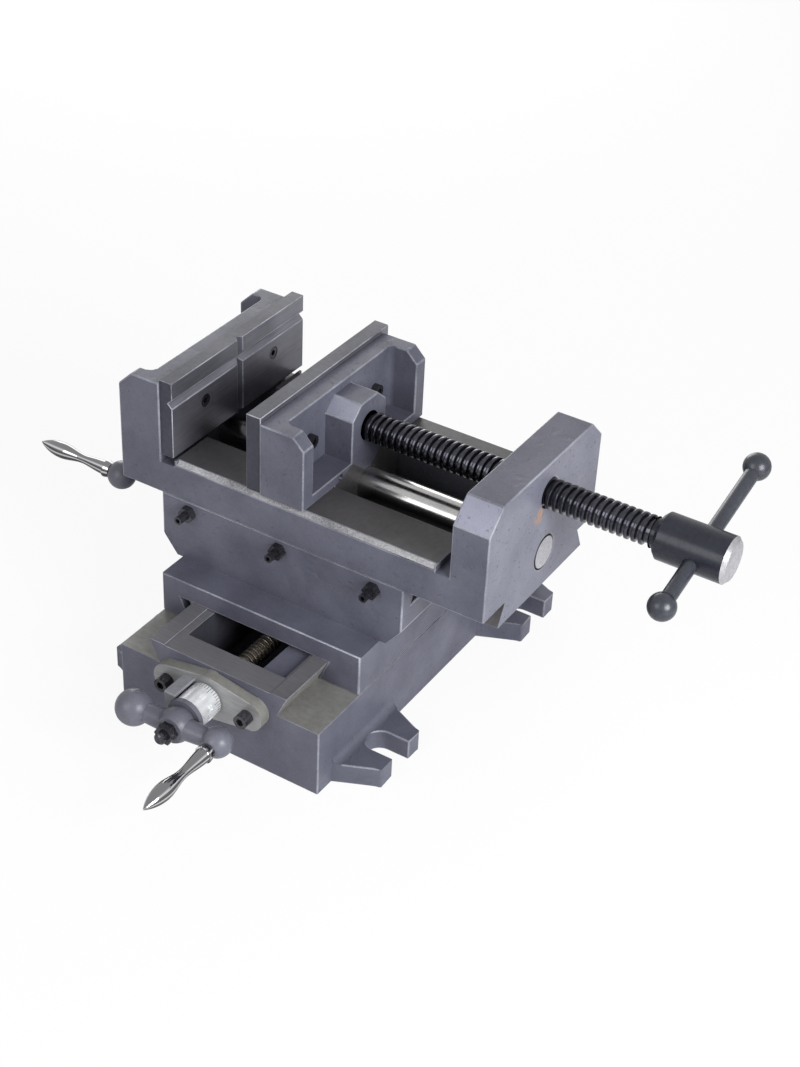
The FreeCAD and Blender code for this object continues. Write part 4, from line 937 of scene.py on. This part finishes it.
def makeFloor():
    work = bmesh.new()
    bmesh.ops.create_grid(work, x_segments=1, y_segments=1, size=6.0)
    mesh = bpy.data.meshes.new("studioFloor")
    work.to_mesh(mesh)
    work.free()
    floor = addObject("studioFloor", mesh)
    floor.location.z = stageSizes["floorLevel"]
    material = bpy.data.materials.new("paleFloor")
    material.use_nodes = True
    tree = material.node_tree
    shader = tree.nodes["Principled BSDF"]
    shader.inputs["Base Color"].default_value = (0.93, 0.93, 0.93, 1)
    shader.inputs["Roughness"].default_value = 0.9
    rays = tree.nodes.new("ShaderNodeLightPath")
    glow = mathNode(tree, "MULTIPLY", rays.outputs["Is Camera Ray"], stageSizes["paperGlow"])
    paper = tree.nodes.new("ShaderNodeEmission")
    blend = tree.nodes.new("ShaderNodeMixShader")
    link(tree, glow, blend.inputs["Fac"])
    link(tree, shader.outputs["BSDF"], blend.inputs[1])
    link(tree, paper.outputs["Emission"], blend.inputs[2])
    link(tree, blend.outputs["Shader"], tree.nodes["Material Output"].inputs["Surface"])
    floor.data.materials.append(material)


def makeWorld():
    world = bpy.data.worlds.new("studio")
    bpy.context.scene.world = world
    world.use_nodes = True
    tree = world.node_tree
    backdrop = tree.nodes["Background"]
    rays = tree.nodes.new("ShaderNodeLightPath")
    either = mathNode(tree, "MAXIMUM", rays.outputs["Is Camera Ray"], rays.outputs["Is Glossy Ray"])
    seen = mathNode(tree, "MAXIMUM", either, rays.outputs["Is Transmission Ray"])
    strength = rampNode(tree, seen, 0.0, 1.0, stageSizes["fill"], 1.0)
    backdrop.inputs["Color"].default_value = (1, 1, 1, 1)
    link(tree, strength, backdrop.inputs["Strength"])


def areaLamp(name, place, target, size, power):
    lamp = bpy.data.lights.new(name, "AREA")
    lamp.shape = "SQUARE"
    lamp.size = size
    lamp.energy = power
    holder = bpy.data.objects.new(name, lamp)
    collection.objects.link(holder)
    holder.location = place
    holder.rotation_euler = (Vector(target) - Vector(place)).to_track_quat("-Z", "Y").to_euler()


def makeCamera():
    sizes = {"eye": (0.5896, -0.9201, 0.8684), "lens": 87.1}  # fitted to the photograph
    right = Vector((0.84477, 0.53353, 0.04134)).normalized()
    up = Vector((-0.33782, 0.47179, 0.81443)).normalized()
    back = right.cross(up).normalized()
    up = back.cross(right).normalized()
    data = bpy.data.cameras.new("camera")
    data.lens = sizes["lens"]
    data.sensor_width = 36
    data.sensor_fit = "HORIZONTAL"
    camera = bpy.data.objects.new("camera", data)
    collection.objects.link(camera)
    turn = Matrix((right, up, back)).transposed().to_4x4()
    camera.matrix_world = Matrix.Translation(sizes["eye"]) @ turn
    bpy.context.scene.camera = camera


makeFloor()
makeWorld()
for name, values in lamps.items():
    areaLamp(name, **values)
makeCamera()
bpy.context.scene.view_settings.view_transform = "Standard"
print("stage set")
